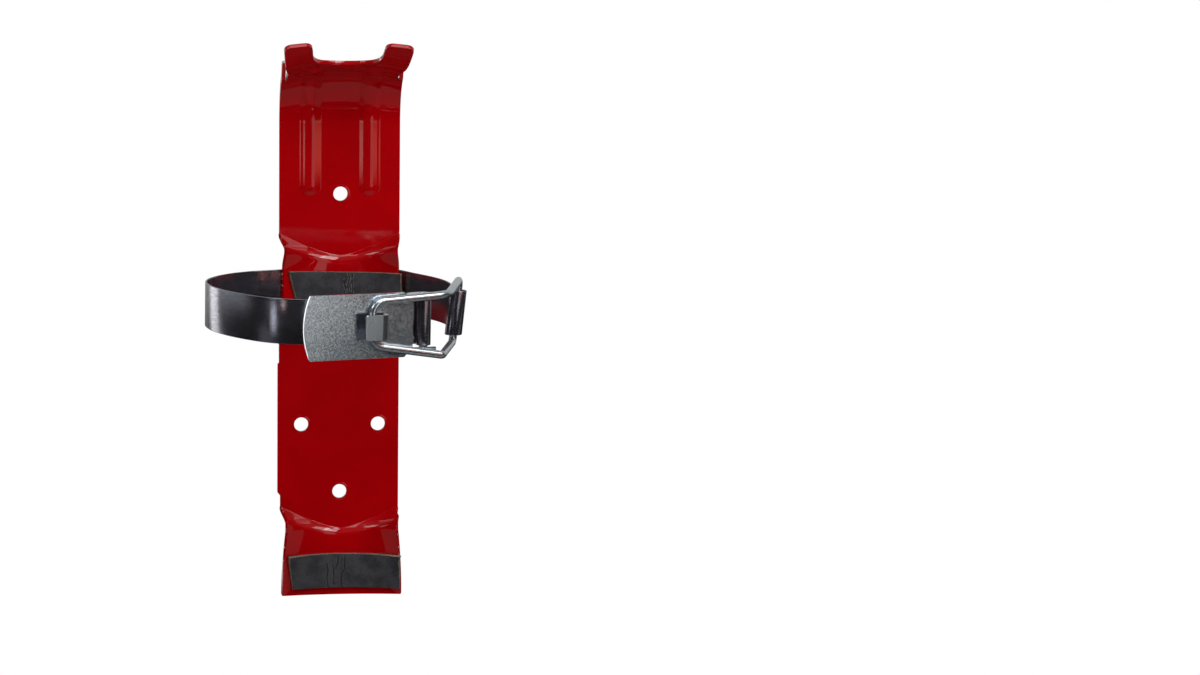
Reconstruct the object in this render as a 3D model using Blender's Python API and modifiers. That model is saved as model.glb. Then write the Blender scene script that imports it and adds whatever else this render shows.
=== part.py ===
"""Wall bracket for a small fire extinguisher, in metres, +Z up.

The wall is the plane y = 0 and the bracket stands out from it along -Y. One stamped steel plate
carries a neck fork at the top, two ribs below the fork, and two cradles dished to the cylinder.
A sprung steel band passes behind the middle cradle. Its two ends are rolled into eyes: one carries
the pin of the latch lever, the other the wire bail that hooks under the lever's lanced tab.
"""

import math

import bmesh
import bpy
from mathutils import Euler, Vector

# Plate: one sheet, developed flat in (u, v), u across and v up the sheet
PLATE_THICKNESS = 0.0019
BLANK_HALF_WIDTH = 0.028575
BLANK_BOTTOM = -0.0665
BLANK_CORNER = 0.0008
LEFT_STEP_OUT = 0.00065
LEFT_STEP_OUT_Z = 0.0457
LEFT_STEP_IN = 0.0013
LEFT_STEP_IN_Z = -0.0168
RIGHT_STEP_OUT = 0.0008
RIGHT_STEP_OUT_Z = -0.0270
STEP_RUN = 0.0016
BOTTOM_LEFT_DRIFT = 0.0004
BOTTOM_RIGHT_DRIFT = 0.0009

# Screw holes
HOLE_DIAMETER = 0.0068
HOLE_LINE_X = 0.0004
TOP_HOLE_Z = 0.1265
PAIR_HOLE_Z = 0.0160
PAIR_HALF_SPACING = 0.01835
BOTTOM_HOLE_Z = -0.01655

# Neck fork: the sheet leans forward, turns into a shelf, then the prongs turn up
LEAN_START_Z = 0.160
LEAN_RADIUS = 0.0262
LEAN_ANGLE = math.radians(58)
SHELF_BEND_RADIUS = 0.0262
SHELF_RISE = math.radians(15.8)
SHELF_LENGTH = 0.0139
PRONG_BEND_RADIUS = 0.0378
PRONG_RISE = math.radians(39.1)
PRONG_LENGTH = 0.0064
SHELF_CROWN = 0.0032
NECK_SLOT_RADIUS = 0.0163
NECK_SLOT_DEPTH = 0.0235
PRONG_TIP_INNER = 0.0171
PRONG_TIP_OUTER = 0.0301
PRONG_WAIST = 0.0268
PRONG_FLARE = 0.0278
PRONG_FLARE_V = 0.2065
PRONG_FLARE_BLEND = 0.010
PRONG_TIP_CORNER = 0.0031
PRONG_INNER_CORNER = 0.0036
EAR_WIDTH = 0.001875
EAR_SLIT = 0.0005
EAR_SLIT_OUTER = BLANK_HALF_WIDTH - EAR_WIDTH
EAR_SLIT_INNER = EAR_SLIT_OUTER - EAR_SLIT
EAR_LENGTH = 0.0097
EAR_CLEARANCE = 0.0010
EAR_TURN_RADIUS = 0.0030
EAR_TURN = math.radians(30)

# Ribs pressed forward below the fork
RIB_SPACING = 0.0140
RIB_HALF_WIDTH = 0.0046
RIB_HEIGHT = 0.0014
RIB_LOWER_END = 0.1305
RIB_UPPER_END = 0.1960

# Cradles
CRADLE_STANDOFF = 0.0016
CRADLE_RADIUS = 0.058
CREASE_RADIUS = 0.041
SMILE_POWER = 1.5
MIDDLE_TOP_Z = 0.0975
MIDDLE_TOP_SMILE = 0.0105
MIDDLE_FOOT_Z = 0.0640
MIDDLE_FOOT_SMILE = 0.0100
LOWER_TOP_Z = -0.0340
LOWER_TOP_SMILE = 0.0105
CREASE_RUN_CENTRE = 0.0045
CREASE_RUN_EDGE = 0.0062
CREASE_TIGHT_REACH = 0.0055
CREASE_TIGHT_RISE = 0.0030
LOWER_SHIFT = 0.00075
LOWER_EDGE_RADIUS = 0.250

# Foam pads
PAD_THICKNESS = 0.0020
PAD_GAP = 0.0003
PAD_HEIGHT = 0.0166
PAD_BARB_DROP = 0.0030
MIDDLE_PAD_TOP = 0.0896
MIDDLE_PAD_LEFT = -0.0264
MIDDLE_PAD_LEFT_LIFT = 0.0010
MIDDLE_PAD_RIGHT = 0.0310
MIDDLE_PAD_BARB = 0.0
MIDDLE_PAD_FOOT_LEFT = -0.0216
MIDDLE_PAD_FOOT_RIGHT = 0.0318
LOWER_PAD_TOP = -0.0462
LOWER_PAD_LEFT = -0.0263
LOWER_PAD_LEFT_LIFT = 0.0
LOWER_PAD_RIGHT = 0.0314
LOWER_PAD_BARB = 0.0010
LOWER_PAD_FOOT_LEFT = -0.0227
LOWER_PAD_FOOT_RIGHT = 0.0298

# Band and its rolled eyes
BAND_THICKNESS = 0.0008
BAND_HEIGHT = 0.0204
BAND_CENTRE_Z = 0.0811
BAND_GAP = 0.00035
BAND_TILT = math.radians(0.6)
BAND_TILT_X = -0.025
EYE_SWEEP = math.radians(298)
BAND_LEFT_SIDE = ((0.0, -0.1168), (-0.016, -0.1178), (-0.0255, -0.1183), (-0.0345, -0.1162),
                  (-0.0430, -0.1106), (-0.0512, -0.1006), (-0.0585, -0.0882), (-0.0636, -0.0750),
                  (-0.0660, -0.0590), (-0.0646, -0.0460), (-0.0600, -0.0345), (-0.0525, -0.0236),
                  (-0.0435, -0.0157), (-0.0350, -0.0112))
BAND_RIGHT_SIDE = ((0.0307, -0.0124), (0.0337, -0.0192), (0.0375, -0.0266), (0.0410, -0.0340),
                   (0.0438, -0.0420), (0.0458, -0.0510), (0.0465, -0.0600), (0.0460, -0.0700),
                   (0.0443, -0.0775))

# Latch: pin axis P and bail axis E, in plan
PIN_X = 0.0275
PIN_Y = -0.1180
PIN_RADIUS = 0.0020
PIN_GAP = 0.0003
PIN_EYE_RADIUS = 0.00295
BAIL_AXIS_X = 0.0460
BAIL_AXIS_Y = -0.0840
BAIL_EYE_RADIUS = 0.00355
BAIL_EYE_LEAN = math.radians(5.4)

# Lever, in its own frame: s from the pin to the free end, q up, n out of the front face
LEVER_ANGLE = math.radians(19)
LEVER_THICKNESS = 0.0015
LEVER_FRONT = 0.0052
LEVER_HALF_HEIGHT = 0.0145
LEVER_CORNER_S = 0.0570
LEVER_END_SAGITTA = 0.0030
WINDOW_S = 0.0076
WINDOW_HALF_HEIGHT = 0.0106
EAR_HALF_SPACING = 0.0132
EAR_BEND_RADIUS = 0.0019
EAR_BACK = 0.0040
EAR_HALF_WIDTH = 0.0040
EAR_ROOT_S = 0.0110
EAR_RELIEF = 0.0008
TAB_ROOT_S = 0.0201
TAB_HALF_WIDTH = 0.00560
TAB_SLIT = 0.0003
TAB_SLOT_END_S = 0.0350
TAB_LENGTH = 0.0141
TAB_DRAW = 1.26
TAB_ROOT_RADIUS = 0.0018
TAB_ROOT_ANGLE = math.radians(82)
TAB_RISE = 0.0029
TAB_CROWN_RADIUS = 0.0030
TAB_TIP_ANGLE = math.radians(2)

# Bail: one round wire
WIRE_RADIUS = 0.0018
BAIL_LIFT = 0.0005
HOOK_TOP_S = 0.0287
HOOK_FOOT_S = 0.0274
HOOK_TOP = 0.0112
HOOK_FOOT = -0.0086
KNEE_TOP_S = -0.0084
KNEE_TOP = 0.0131
KNEE_FOOT_S = -0.0060
KNEE_FOOT = -0.0140
SHANK_TOP = 0.0152
SHANK_FOOT = -0.0136
HOOK_TOP_BEND = 0.0062
HOOK_FOOT_BEND = 0.0052
KNEE_TOP_BEND = 0.0090
KNEE_FOOT_BEND = 0.0022
SHANK_TOP_BEND = 0.0038
SHANK_FOOT_BEND = 0.0024
WIRE_BUTT_GAP = 0.0006

COLLECTION_NAME = "extinguisher_bracket"


def clear_scene():
    for item in list(bpy.data.objects):
        bpy.data.objects.remove(item, do_unlink=True)


def new_collection(name):
    collection = bpy.data.collections.new(name)
    bpy.context.scene.collection.children.link(collection)
    return collection


def new_material(name, colour, roughness, metallic):
    material = bpy.data.materials.new(name)
    material.use_nodes = True
    shader = material.node_tree.nodes["Principled BSDF"]
    shader.inputs["Base Color"].default_value = (*colour, 1.0)
    shader.inputs["Roughness"].default_value = roughness
    shader.inputs["Metallic"].default_value = metallic
    return material


def ease(t):
    """Smooth step from 0 to 1."""
    t = min(1.0, max(0.0, t))
    return t * t * (3 - 2 * t)


def fillet(before, corner, after, radius, angle_step):
    """Points of the arc that rounds a corner between two straight runs."""
    towards_a = (before - corner).normalized()
    towards_b = (after - corner).normalized()
    half = towards_a.angle(towards_b) / 2
    if radius <= 0 or half > math.radians(89.5):
        return [corner.copy()]
    reach = radius / math.tan(half)
    centre = corner + (towards_a + towards_b).normalized() * radius / math.sin(half)
    start = corner + towards_a * reach - centre
    end = corner + towards_b * reach - centre
    sweep = start.angle(end)
    steps = max(1, round(sweep / angle_step))
    arc = []
    for k in range(steps + 1):
        a = sweep * k / steps
        arc.append(centre + (start * math.sin(sweep - a) + end * math.sin(a)) / math.sin(sweep))
    return arc


def rounded_path(corners, closed, angle_step=math.radians(22.5)):
    """Corners as (point, radius), each turned into an arc of its radius."""
    points = []
    count = len(corners)
    for i, (corner, radius) in enumerate(corners):
        if not closed and i in (0, count - 1):
            points.append(corner.copy())
            continue
        before = corners[i - 1][0]
        after = corners[(i + 1) % count][0]
        points.extend(fillet(before, corner, after, radius, angle_step))
    return points


def smooth_path(points, step):
    """Catmull-Rom curve through plan points, with a point about every step."""
    padded = [points[0] * 2 - points[1], *points, points[-1] * 2 - points[-2]]
    path = [points[0].copy()]
    for i in range(1, len(padded) - 2):
        a, b, c, d = padded[i - 1:i + 3]
        pieces = max(1, round((c - b).length / step))
        for k in range(1, pieces + 1):
            t = k / pieces
            path.append(0.5 * (2 * b + (c - a) * t + (2 * a - 5 * b + 4 * c - d) * t * t
                               + (3 * b - a - 3 * c + d) * t ** 3))
    return path


def circle(centre_x, centre_y, radius, sides=24):
    step = 2 * math.pi / sides
    return [Vector((centre_x + radius * math.cos(step * k), centre_y + radius * math.sin(step * k)))
            for k in range(sides)]


def flat_blank(name, outline, holes, thickness):
    """Bmesh of a flat sheet cut to an outline, lying in XY and centred on z = 0."""
    curve = bpy.data.curves.new(name, "CURVE")
    curve.dimensions = "2D"
    curve.fill_mode = "BOTH"
    curve.extrude = thickness / 2
    for loop in (outline, *holes):
        spline = curve.splines.new("POLY")
        spline.points.add(len(loop) - 1)
        for point, place in zip(spline.points, loop):
            point.co = (place.x, place.y, 0, 1)
        spline.use_cyclic_u = True
    guide = bpy.data.objects.new(name, curve)
    bpy.context.scene.collection.objects.link(guide)
    evaluated = guide.evaluated_get(bpy.context.evaluated_depsgraph_get())
    mesh = bpy.data.meshes.new_from_object(evaluated)
    blank = bmesh.new()
    blank.from_mesh(mesh)
    bpy.data.objects.remove(guide)
    bpy.data.meshes.remove(mesh)
    bmesh.ops.remove_doubles(blank, verts=blank.verts, dist=1e-6)
    bmesh.ops.dissolve_limit(blank, angle_limit=math.radians(1), verts=blank.verts, edges=blank.edges)
    return blank


def cut_across(blank, axis, places, keep=None):
    """Score the blank with planes, so that it can bend there."""
    normal = Vector((1, 0, 0)) if axis == 0 else Vector((0, 1, 0))
    for place in places:
        faces = [f for f in blank.faces if keep is None or keep(f.calc_center_median())]
        edges = list({e for f in faces for e in f.edges})
        verts = list({v for f in faces for v in f.verts})
        bmesh.ops.bisect_plane(blank, geom=faces + edges + verts, dist=1e-7,
                               plane_co=normal * place, plane_no=normal)


def spread(start, end, step):
    """Places from start to end, about a step apart, both ends included."""
    count = max(1, round(abs(end - start) / step))
    return [start + (end - start) * k / count for k in range(count + 1)]


def formed_object(name, blank, surface, offset, material, collection):
    """Press the flat blank onto surface(u, v), keeping its thickness along the surface's normal."""
    bmesh.ops.triangulate(blank, faces=blank.faces)
    reach = 2e-5
    for vert in blank.verts:
        u, v, w = vert.co
        across = surface(u + reach, v) - surface(u - reach, v)
        along = surface(u, v + reach) - surface(u, v - reach)
        vert.co = surface(u, v) + across.cross(along).normalized() * (w + offset)
    mesh = bpy.data.meshes.new(name)
    blank.to_mesh(mesh)
    blank.free()
    mesh.shade_smooth()
    mesh.set_sharp_from_angle(angle=math.radians(35))
    mesh.materials.append(material)
    part = bpy.data.objects.new(name, mesh)
    collection.objects.link(part)
    return part


def lean_profile(v, bend_to_shelf=True):
    """Forward reach, height and lean angle of the sheet at developed height v above the wall face."""
    runs = [(LEAN_RADIUS, LEAN_ANGLE)]
    if bend_to_shelf:
        runs.append((SHELF_BEND_RADIUS, math.pi / 2 - SHELF_RISE - LEAN_ANGLE))
        runs.append((SHELF_LENGTH, 0.0))
        runs.append((PRONG_BEND_RADIUS, SHELF_RISE - PRONG_RISE))
    else:
        runs.append((EAR_TURN_RADIUS, -EAR_TURN))
    forward = 0.0
    height = LEAN_START_Z
    angle = 0.0
    left = v - LEAN_START_Z
    if left <= 0:
        return 0.0, v, 0.0
    for size, turn in runs:
        length = size * abs(turn) if turn else size
        used = min(left, length)
        if turn:
            side = math.copysign(size, turn)
            after = angle + used / side
            forward += side * (math.cos(angle) - math.cos(after))
            height += side * (math.sin(after) - math.sin(angle))
            angle = after
        else:
            forward += used * math.sin(angle)
            height += used * math.cos(angle)
        left -= used
        if left <= 0:
            return forward, height, angle
    return forward + left * math.sin(angle), height + left * math.cos(angle), angle


SHELF_START_V = LEAN_START_Z + LEAN_RADIUS * LEAN_ANGLE
SHELF_FLAT_V = SHELF_START_V + SHELF_BEND_RADIUS * (math.pi / 2 - SHELF_RISE - LEAN_ANGLE)
PRONG_BEND_V = SHELF_FLAT_V + SHELF_LENGTH
PRONG_FLAT_V = PRONG_BEND_V + PRONG_BEND_RADIUS * (PRONG_RISE - SHELF_RISE)
PRONG_TIP_V = PRONG_FLAT_V + PRONG_LENGTH


def smile(u, centre_z, rise):
    """Crease line that curves from its centre height to the sheet's edges."""
    return centre_z + rise * (abs(u) / BLANK_HALF_WIDTH) ** SMILE_POWER


def crease_run(u):
    share = min(1.0, abs(u) / BLANK_HALF_WIDTH)
    return CREASE_RUN_CENTRE + (CREASE_RUN_EDGE - CREASE_RUN_CENTRE) * share


def dish(u, curvature):
    """Forward rise and inward draw of a sheet rolled to a curvature, at distance u from its centre."""
    turn = curvature * u
    if abs(turn) < 1e-9:
        return 0.0, 0.0
    return (1 - math.cos(turn)) / curvature, u - math.sin(turn) / curvature


def middle_cradle(u, v):
    into = ease((smile(u, MIDDLE_TOP_Z, MIDDLE_TOP_SMILE) - v) / crease_run(u))
    out = ease((v - smile(u, MIDDLE_FOOT_Z, -MIDDLE_FOOT_SMILE)) / crease_run(u))
    tight = math.exp(-((v - MIDDLE_TOP_Z - CREASE_TIGHT_RISE) / CREASE_TIGHT_REACH) ** 2)
    curvature = 1 / CRADLE_RADIUS + tight * (1 / CREASE_RADIUS - 1 / CRADLE_RADIUS)
    rise, draw = dish(u, curvature)
    return into * out * (CRADLE_STANDOFF + rise), into * out * draw


def lower_cradle(u, v):
    u = u - LOWER_SHIFT
    into = ease((smile(u, LOWER_TOP_Z, LOWER_TOP_SMILE) - v) / crease_run(u))
    fade = min(1.0, max(0.0, (LOWER_TOP_Z - v) / (LOWER_TOP_Z - BLANK_BOTTOM)))
    curvature = 1 / CREASE_RADIUS + fade * (1 / LOWER_EDGE_RADIUS - 1 / CREASE_RADIUS)
    rise, draw = dish(u, curvature)
    return into * (CRADLE_STANDOFF + rise), into * draw


def rib_height(u, v):
    beyond = max(0.0, RIB_LOWER_END - v, v - RIB_UPPER_END)
    away = math.hypot(abs(u) - RIB_SPACING, beyond) / RIB_HALF_WIDTH
    return RIB_HEIGHT * math.cos(min(1.0, away) * math.pi / 2) ** 2


def plate_surface(u, v):
    """Middle surface of the pressed plate."""
    in_ear = abs(u) > (EAR_SLIT_INNER + EAR_SLIT_OUTER) / 2
    ear_free = in_ear and v > SHELF_START_V and v < SHELF_START_V + EAR_LENGTH + EAR_CLEARANCE / 2
    forward, height, angle = lean_profile(v, not ear_free)
    rise, draw = middle_cradle(u, v)
    if v < (MIDDLE_FOOT_Z + LOWER_TOP_Z) / 2:
        rise, draw = lower_cradle(u, v)
    crown = SHELF_CROWN * (1 - (u / PRONG_WAIST) ** 2) * math.sin(angle) ** 2
    out = PLATE_THICKNESS / 2 + rise + rib_height(u, v) - crown
    return Vector((u - draw, -forward - out * math.cos(angle), height - out * math.sin(angle)))


def plate_outline():
    """Developed outline of the plate, counter-clockwise from the lower left corner."""
    w = BLANK_HALF_WIDTH
    slot_foot = PRONG_TIP_V - NECK_SLOT_DEPTH
    ear_top = SHELF_START_V + EAR_LENGTH
    left = [(-w + LEFT_STEP_IN - LEFT_STEP_OUT + BOTTOM_LEFT_DRIFT, BLANK_BOTTOM, BLANK_CORNER),
            (w + RIGHT_STEP_OUT + BOTTOM_RIGHT_DRIFT, BLANK_BOTTOM, BLANK_CORNER),
            (w + RIGHT_STEP_OUT, RIGHT_STEP_OUT_Z, 0.0005),
            (w, RIGHT_STEP_OUT_Z + STEP_RUN / 3, 0),
            (w, ear_top, 0.0009),
            (EAR_SLIT_OUTER, ear_top, 0.0006),
            (EAR_SLIT_OUTER, SHELF_START_V, 0),
            (EAR_SLIT_INNER, SHELF_START_V, 0),
            (EAR_SLIT_INNER, ear_top + EAR_CLEARANCE, 0.002),
            (PRONG_FLARE, PRONG_FLARE_V, PRONG_FLARE_BLEND),
            (PRONG_TIP_OUTER, PRONG_TIP_V, PRONG_TIP_CORNER),
            (PRONG_TIP_INNER, PRONG_TIP_V, PRONG_INNER_CORNER),
            (NECK_SLOT_RADIUS, slot_foot + NECK_SLOT_RADIUS, 0),
            (NECK_SLOT_RADIUS, slot_foot, NECK_SLOT_RADIUS - 1e-5),
            (-NECK_SLOT_RADIUS, slot_foot, NECK_SLOT_RADIUS - 1e-5),
            (-NECK_SLOT_RADIUS, slot_foot + NECK_SLOT_RADIUS, 0),
            (-PRONG_TIP_INNER, PRONG_TIP_V, PRONG_INNER_CORNER),
            (-PRONG_TIP_OUTER, PRONG_TIP_V, PRONG_TIP_CORNER),
            (-PRONG_FLARE, PRONG_FLARE_V, PRONG_FLARE_BLEND),
            (-EAR_SLIT_INNER, ear_top + EAR_CLEARANCE, 0.002),
            (-EAR_SLIT_INNER, SHELF_START_V, 0),
            (-EAR_SLIT_OUTER, SHELF_START_V, 0),
            (-EAR_SLIT_OUTER, ear_top, 0.0006),
            (-w, ear_top, 0.0009),
            (-w, LEFT_STEP_OUT_Z, 0),
            (-w - LEFT_STEP_OUT, LEFT_STEP_OUT_Z - STEP_RUN / 3, 0),
            (-w - LEFT_STEP_OUT, LEFT_STEP_IN_Z, 0.0006),
            (-w + LEFT_STEP_IN - LEFT_STEP_OUT, LEFT_STEP_IN_Z - STEP_RUN, 0.0006)]
    corners = [(Vector((x, y)), radius) for x, y, radius in left]
    return rounded_path(corners, closed=True, angle_step=math.radians(15))


def plate_rows():
    """Heights where the sheet bends."""
    rows = spread(BLANK_BOTTOM, LOWER_TOP_Z - CREASE_RUN_CENTRE, 0.0055)[1:]
    rows += spread(LOWER_TOP_Z - CREASE_RUN_CENTRE, LOWER_TOP_Z + LOWER_TOP_SMILE, 0.0014)
    rows += spread(0.0, MIDDLE_FOOT_Z - MIDDLE_FOOT_SMILE, 0.030)
    rows += spread(MIDDLE_FOOT_Z - MIDDLE_FOOT_SMILE, MIDDLE_FOOT_Z + CREASE_RUN_CENTRE, 0.0018)
    rows += spread(MIDDLE_FOOT_Z + CREASE_RUN_CENTRE, MIDDLE_TOP_Z - CREASE_RUN_CENTRE, 0.0062)
    rows += spread(MIDDLE_TOP_Z - CREASE_RUN_CENTRE, MIDDLE_TOP_Z + MIDDLE_TOP_SMILE, 0.0013)
    rows += spread(LEAN_START_Z, SHELF_START_V, 0.0027)
    rows += spread(SHELF_START_V, SHELF_FLAT_V, 0.0025)
    rows += spread(SHELF_FLAT_V, PRONG_BEND_V, 0.0050)
    rows += spread(PRONG_BEND_V, PRONG_FLAT_V, 0.0031)
    return sorted({round(row, 7) for row in rows})


def build_plate(material, collection):
    holes = [circle(HOLE_LINE_X, TOP_HOLE_Z, HOLE_DIAMETER / 2),
             circle(HOLE_LINE_X - PAIR_HALF_SPACING, PAIR_HOLE_Z, HOLE_DIAMETER / 2),
             circle(HOLE_LINE_X + PAIR_HALF_SPACING, PAIR_HOLE_Z, HOLE_DIAMETER / 2),
             circle(HOLE_LINE_X, BOTTOM_HOLE_Z, HOLE_DIAMETER / 2)]
    blank = flat_blank("plate_blank", plate_outline(), holes, PLATE_THICKNESS)
    cut_across(blank, 1, plate_rows())
    curved = lambda p: (p.y < LOWER_TOP_Z + LOWER_TOP_SMILE or p.y > LEAN_START_Z
                        or MIDDLE_FOOT_Z - MIDDLE_FOOT_SMILE < p.y < MIDDLE_TOP_Z + MIDDLE_TOP_SMILE)
    columns = [k * BLANK_HALF_WIDTH / 8 for k in range(-7, 8)]
    cut_across(blank, 0, columns, keep=curved)
    ribbed = lambda p: RIB_LOWER_END - RIB_HALF_WIDTH < p.y < RIB_UPPER_END + RIB_HALF_WIDTH
    rib_foot_rows = spread(RIB_LOWER_END - RIB_HALF_WIDTH, RIB_LOWER_END, 0.0015)
    cut_across(blank, 1, rib_foot_rows)
    for side in (-1, 1):
        places = [side * (RIB_SPACING + RIB_HALF_WIDTH * k / 3) for k in range(-3, 4)]
        cut_across(blank, 0, places, keep=ribbed)
    return formed_object("back_plate", blank, plate_surface, 0.0, material, collection)


def pad_outline(left, left_lift, right, barb, top, foot_left, foot_right):
    """Hand-cut outline: the top left corner lifts, and the top right one runs out to a point."""
    foot = top - PAD_HEIGHT
    corners = [(foot_left, foot), (foot_right, foot), (right - barb, top - PAD_BARB_DROP),
               (right, top), (0.0, top), (left, top + left_lift)]
    return [Vector(corner) for corner in corners]


def build_pad(name, outline, material, collection):
    blank = flat_blank(name + "_blank", outline, [], PAD_THICKNESS)
    cut_across(blank, 0, [k * 0.0036 for k in range(-7, 9)])
    foot = outline[0].y
    cut_across(blank, 1, spread(foot, foot + PAD_HEIGHT, 0.0055)[1:-1])
    seat = PLATE_THICKNESS / 2 + PAD_GAP + PAD_THICKNESS / 2
    return formed_object(name, blank, plate_surface, seat, material, collection)


def eye_arc(centre, radius, start_angle, sweep):
    """Plan points round an eye."""
    steps = max(1, round(abs(sweep) / math.radians(15)))
    angles = [start_angle + sweep * k / steps for k in range(steps + 1)]
    return [centre + Vector((math.cos(a), math.sin(a))) * radius for a in angles]


def band_arc_centre_y():
    """Centre of the arc that the back of the middle cradle and the band share."""
    return -(PLATE_THICKNESS / 2 + CRADLE_STANDOFF + CRADLE_RADIUS)


def band_route():
    """Plan route of the band's middle line, from the tail of the pin eye to that of the bail eye."""
    pin = Vector((PIN_X, PIN_Y))
    hinge = Vector((BAIL_AXIS_X, BAIL_AXIS_Y))
    front_angle = math.radians(3.6)
    side_angle = math.radians(17)
    leave_pin = pin + Vector((-math.sin(front_angle), math.cos(front_angle))) * PIN_EYE_RADIUS
    reach_hinge = hinge + Vector((-math.cos(side_angle), math.sin(side_angle))) * BAIL_EYE_RADIUS
    behind = CRADLE_RADIUS + PLATE_THICKNESS / 2 + BAND_GAP + BAND_THICKNESS / 2
    half = math.asin((BLANK_HALF_WIDTH - 0.0003) / behind)
    back = []
    for k in range(9):
        a = -half + 2 * half * k / 8
        back.append(Vector((behind * math.sin(a), band_arc_centre_y() + behind * math.cos(a))))
    loop = [leave_pin, *map(Vector, BAND_LEFT_SIDE), *back, *map(Vector, BAND_RIGHT_SIDE), reach_hinge]
    pin_eye = eye_arc(pin, PIN_EYE_RADIUS, math.pi / 2 + front_angle - EYE_SWEEP, EYE_SWEEP)
    bail_eye = eye_arc(hinge, BAIL_EYE_RADIUS, math.pi - side_angle, EYE_SWEEP)
    return pin_eye[:-1] + smooth_path(loop, 0.0042) + bail_eye[1:], len(bail_eye)


def build_band(material, collection):
    route, eye_points = band_route()
    band = bmesh.new()
    bmesh.ops.create_grid(band, x_segments=len(route) - 1, y_segments=2, size=0.5)
    last = len(route) - 1
    for vert in band.verts:
        i = round((vert.co.x + 0.5) * last)
        height = vert.co.y * BAND_HEIGHT
        into_eye = ease((i - (last - eye_points - 3)) / 4)
        lean = height * math.tan(BAIL_EYE_LEAN) * into_eye
        vert.co = (route[i].x + lean, route[i].y, height)
    mesh = bpy.data.meshes.new("strap")
    band.to_mesh(mesh)
    band.free()
    mesh.shade_smooth()
    mesh.materials.append(material)
    part = bpy.data.objects.new("strap", mesh)
    collection.objects.link(part)
    thick = part.modifiers.new("thickness", "SOLIDIFY")
    thick.thickness = BAND_THICKNESS
    thick.offset = 0
    thick.use_even_offset = True
    return part


def tab_profile(run):
    """Place along the lever and height over its middle plane, at a distance from the tab's root."""
    pieces = [(TAB_ROOT_RADIUS, TAB_ROOT_ANGLE), (TAB_RISE, 0.0),
              (TAB_CROWN_RADIUS, -(TAB_ROOT_ANGLE + TAB_TIP_ANGLE))]
    along = TAB_ROOT_S
    lift = 0.0
    angle = 0.0
    for size, turn in pieces:
        length = size * abs(turn) if turn else size
        used = max(0.0, min(run, length))
        if turn:
            side = math.copysign(size, turn)
            after = angle + used / side
            along += side * (math.sin(after) - math.sin(angle))
            lift += side * (math.cos(angle) - math.cos(after))
            angle = after
        else:
            along += used * math.cos(angle)
            lift += used * math.sin(angle)
        run -= used
    return along + run * math.cos(angle), lift + run * math.sin(angle)


def lever_surface(s, q):
    """Middle surface of the lever: x along -s, z up, y towards the wall."""
    middle = LEVER_FRONT - LEVER_THICKNESS / 2
    bend_middle = EAR_BEND_RADIUS - LEVER_THICKNESS / 2
    bend_q = EAR_HALF_SPACING - EAR_BEND_RADIUS
    if abs(q) > bend_q and s < EAR_ROOT_S:
        over = abs(q) - bend_q
        turn = min(math.pi / 2, over / bend_middle)
        rest = over - turn * bend_middle
        up = bend_q + bend_middle * math.sin(turn) + rest * math.cos(turn)
        back = bend_middle * (1 - math.cos(turn)) + rest * math.sin(turn)
        return Vector((-s, back - middle, math.copysign(up, q)))
    tab_end = TAB_ROOT_S + TAB_LENGTH + TAB_SLIT / 2
    if abs(q) < TAB_HALF_WIDTH + TAB_SLIT / 2 and TAB_ROOT_S < s < tab_end:
        along, lift = tab_profile((s - TAB_ROOT_S) * TAB_DRAW)
        return Vector((-along, -middle - lift, q))
    return Vector((-s, -middle, q))


def ear_developed(n):
    """Developed height in the blank of a point of the ear at distance n in front of the pin axis."""
    bend_middle = EAR_BEND_RADIUS - LEVER_THICKNESS / 2
    flat_start = EAR_HALF_SPACING - EAR_BEND_RADIUS + bend_middle * math.pi / 2
    return flat_start + (LEVER_FRONT - EAR_BEND_RADIUS - n)


def lever_outline():
    h = LEVER_HALF_HEIGHT
    end_radius = (h ** 2 + LEVER_END_SAGITTA ** 2) / (2 * LEVER_END_SAGITTA)
    end_centre = LEVER_CORNER_S + LEVER_END_SAGITTA - end_radius
    half = math.asin(h / end_radius)
    end = [(end_centre + end_radius * math.cos(a), end_radius * math.sin(a), 0)
           for a in spread(half, -half, math.radians(6))]
    tip = ear_developed(-EAR_BACK)
    bend_q = EAR_HALF_SPACING - EAR_BEND_RADIUS
    relief_s = EAR_ROOT_S - EAR_RELIEF
    ear = [(EAR_ROOT_S, h, 0.0010), (EAR_ROOT_S, bend_q, 0), (relief_s, bend_q, 0),
           (relief_s, tip - EAR_HALF_WIDTH, 0.0020),
           (EAR_HALF_WIDTH, tip, EAR_HALF_WIDTH * 0.5), (-EAR_HALF_WIDTH, tip, EAR_HALF_WIDTH * 0.95),
           (-EAR_HALF_WIDTH, WINDOW_HALF_HEIGHT, 0), (WINDOW_S, WINDOW_HALF_HEIGHT, 0.0008)]
    top = [(Vector((s, q)), radius) for s, q, radius in [*reversed(end), *ear]]
    foot = [(Vector((s, -q)), radius) for s, q, radius in reversed(ear)]
    return rounded_path(top + foot, closed=True, angle_step=math.radians(20))


def tab_slot():
    """C-shaped cut that frees the tab on three sides."""
    inner = TAB_HALF_WIDTH
    outer = TAB_HALF_WIDTH + TAB_SLIT
    tip = TAB_ROOT_S + TAB_LENGTH
    corners = [(TAB_ROOT_S, outer, 0), (TAB_SLOT_END_S, outer, 0.0006),
               (TAB_SLOT_END_S, -outer, 0.0006), (TAB_ROOT_S, -outer, 0), (TAB_ROOT_S, -inner, 0),
               (tip, -inner, 0.0008), (tip, inner, 0.0008), (TAB_ROOT_S, inner, 0)]
    return rounded_path([(Vector((s, q)), r) for s, q, r in corners], closed=True,
                        angle_step=math.radians(30))


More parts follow.
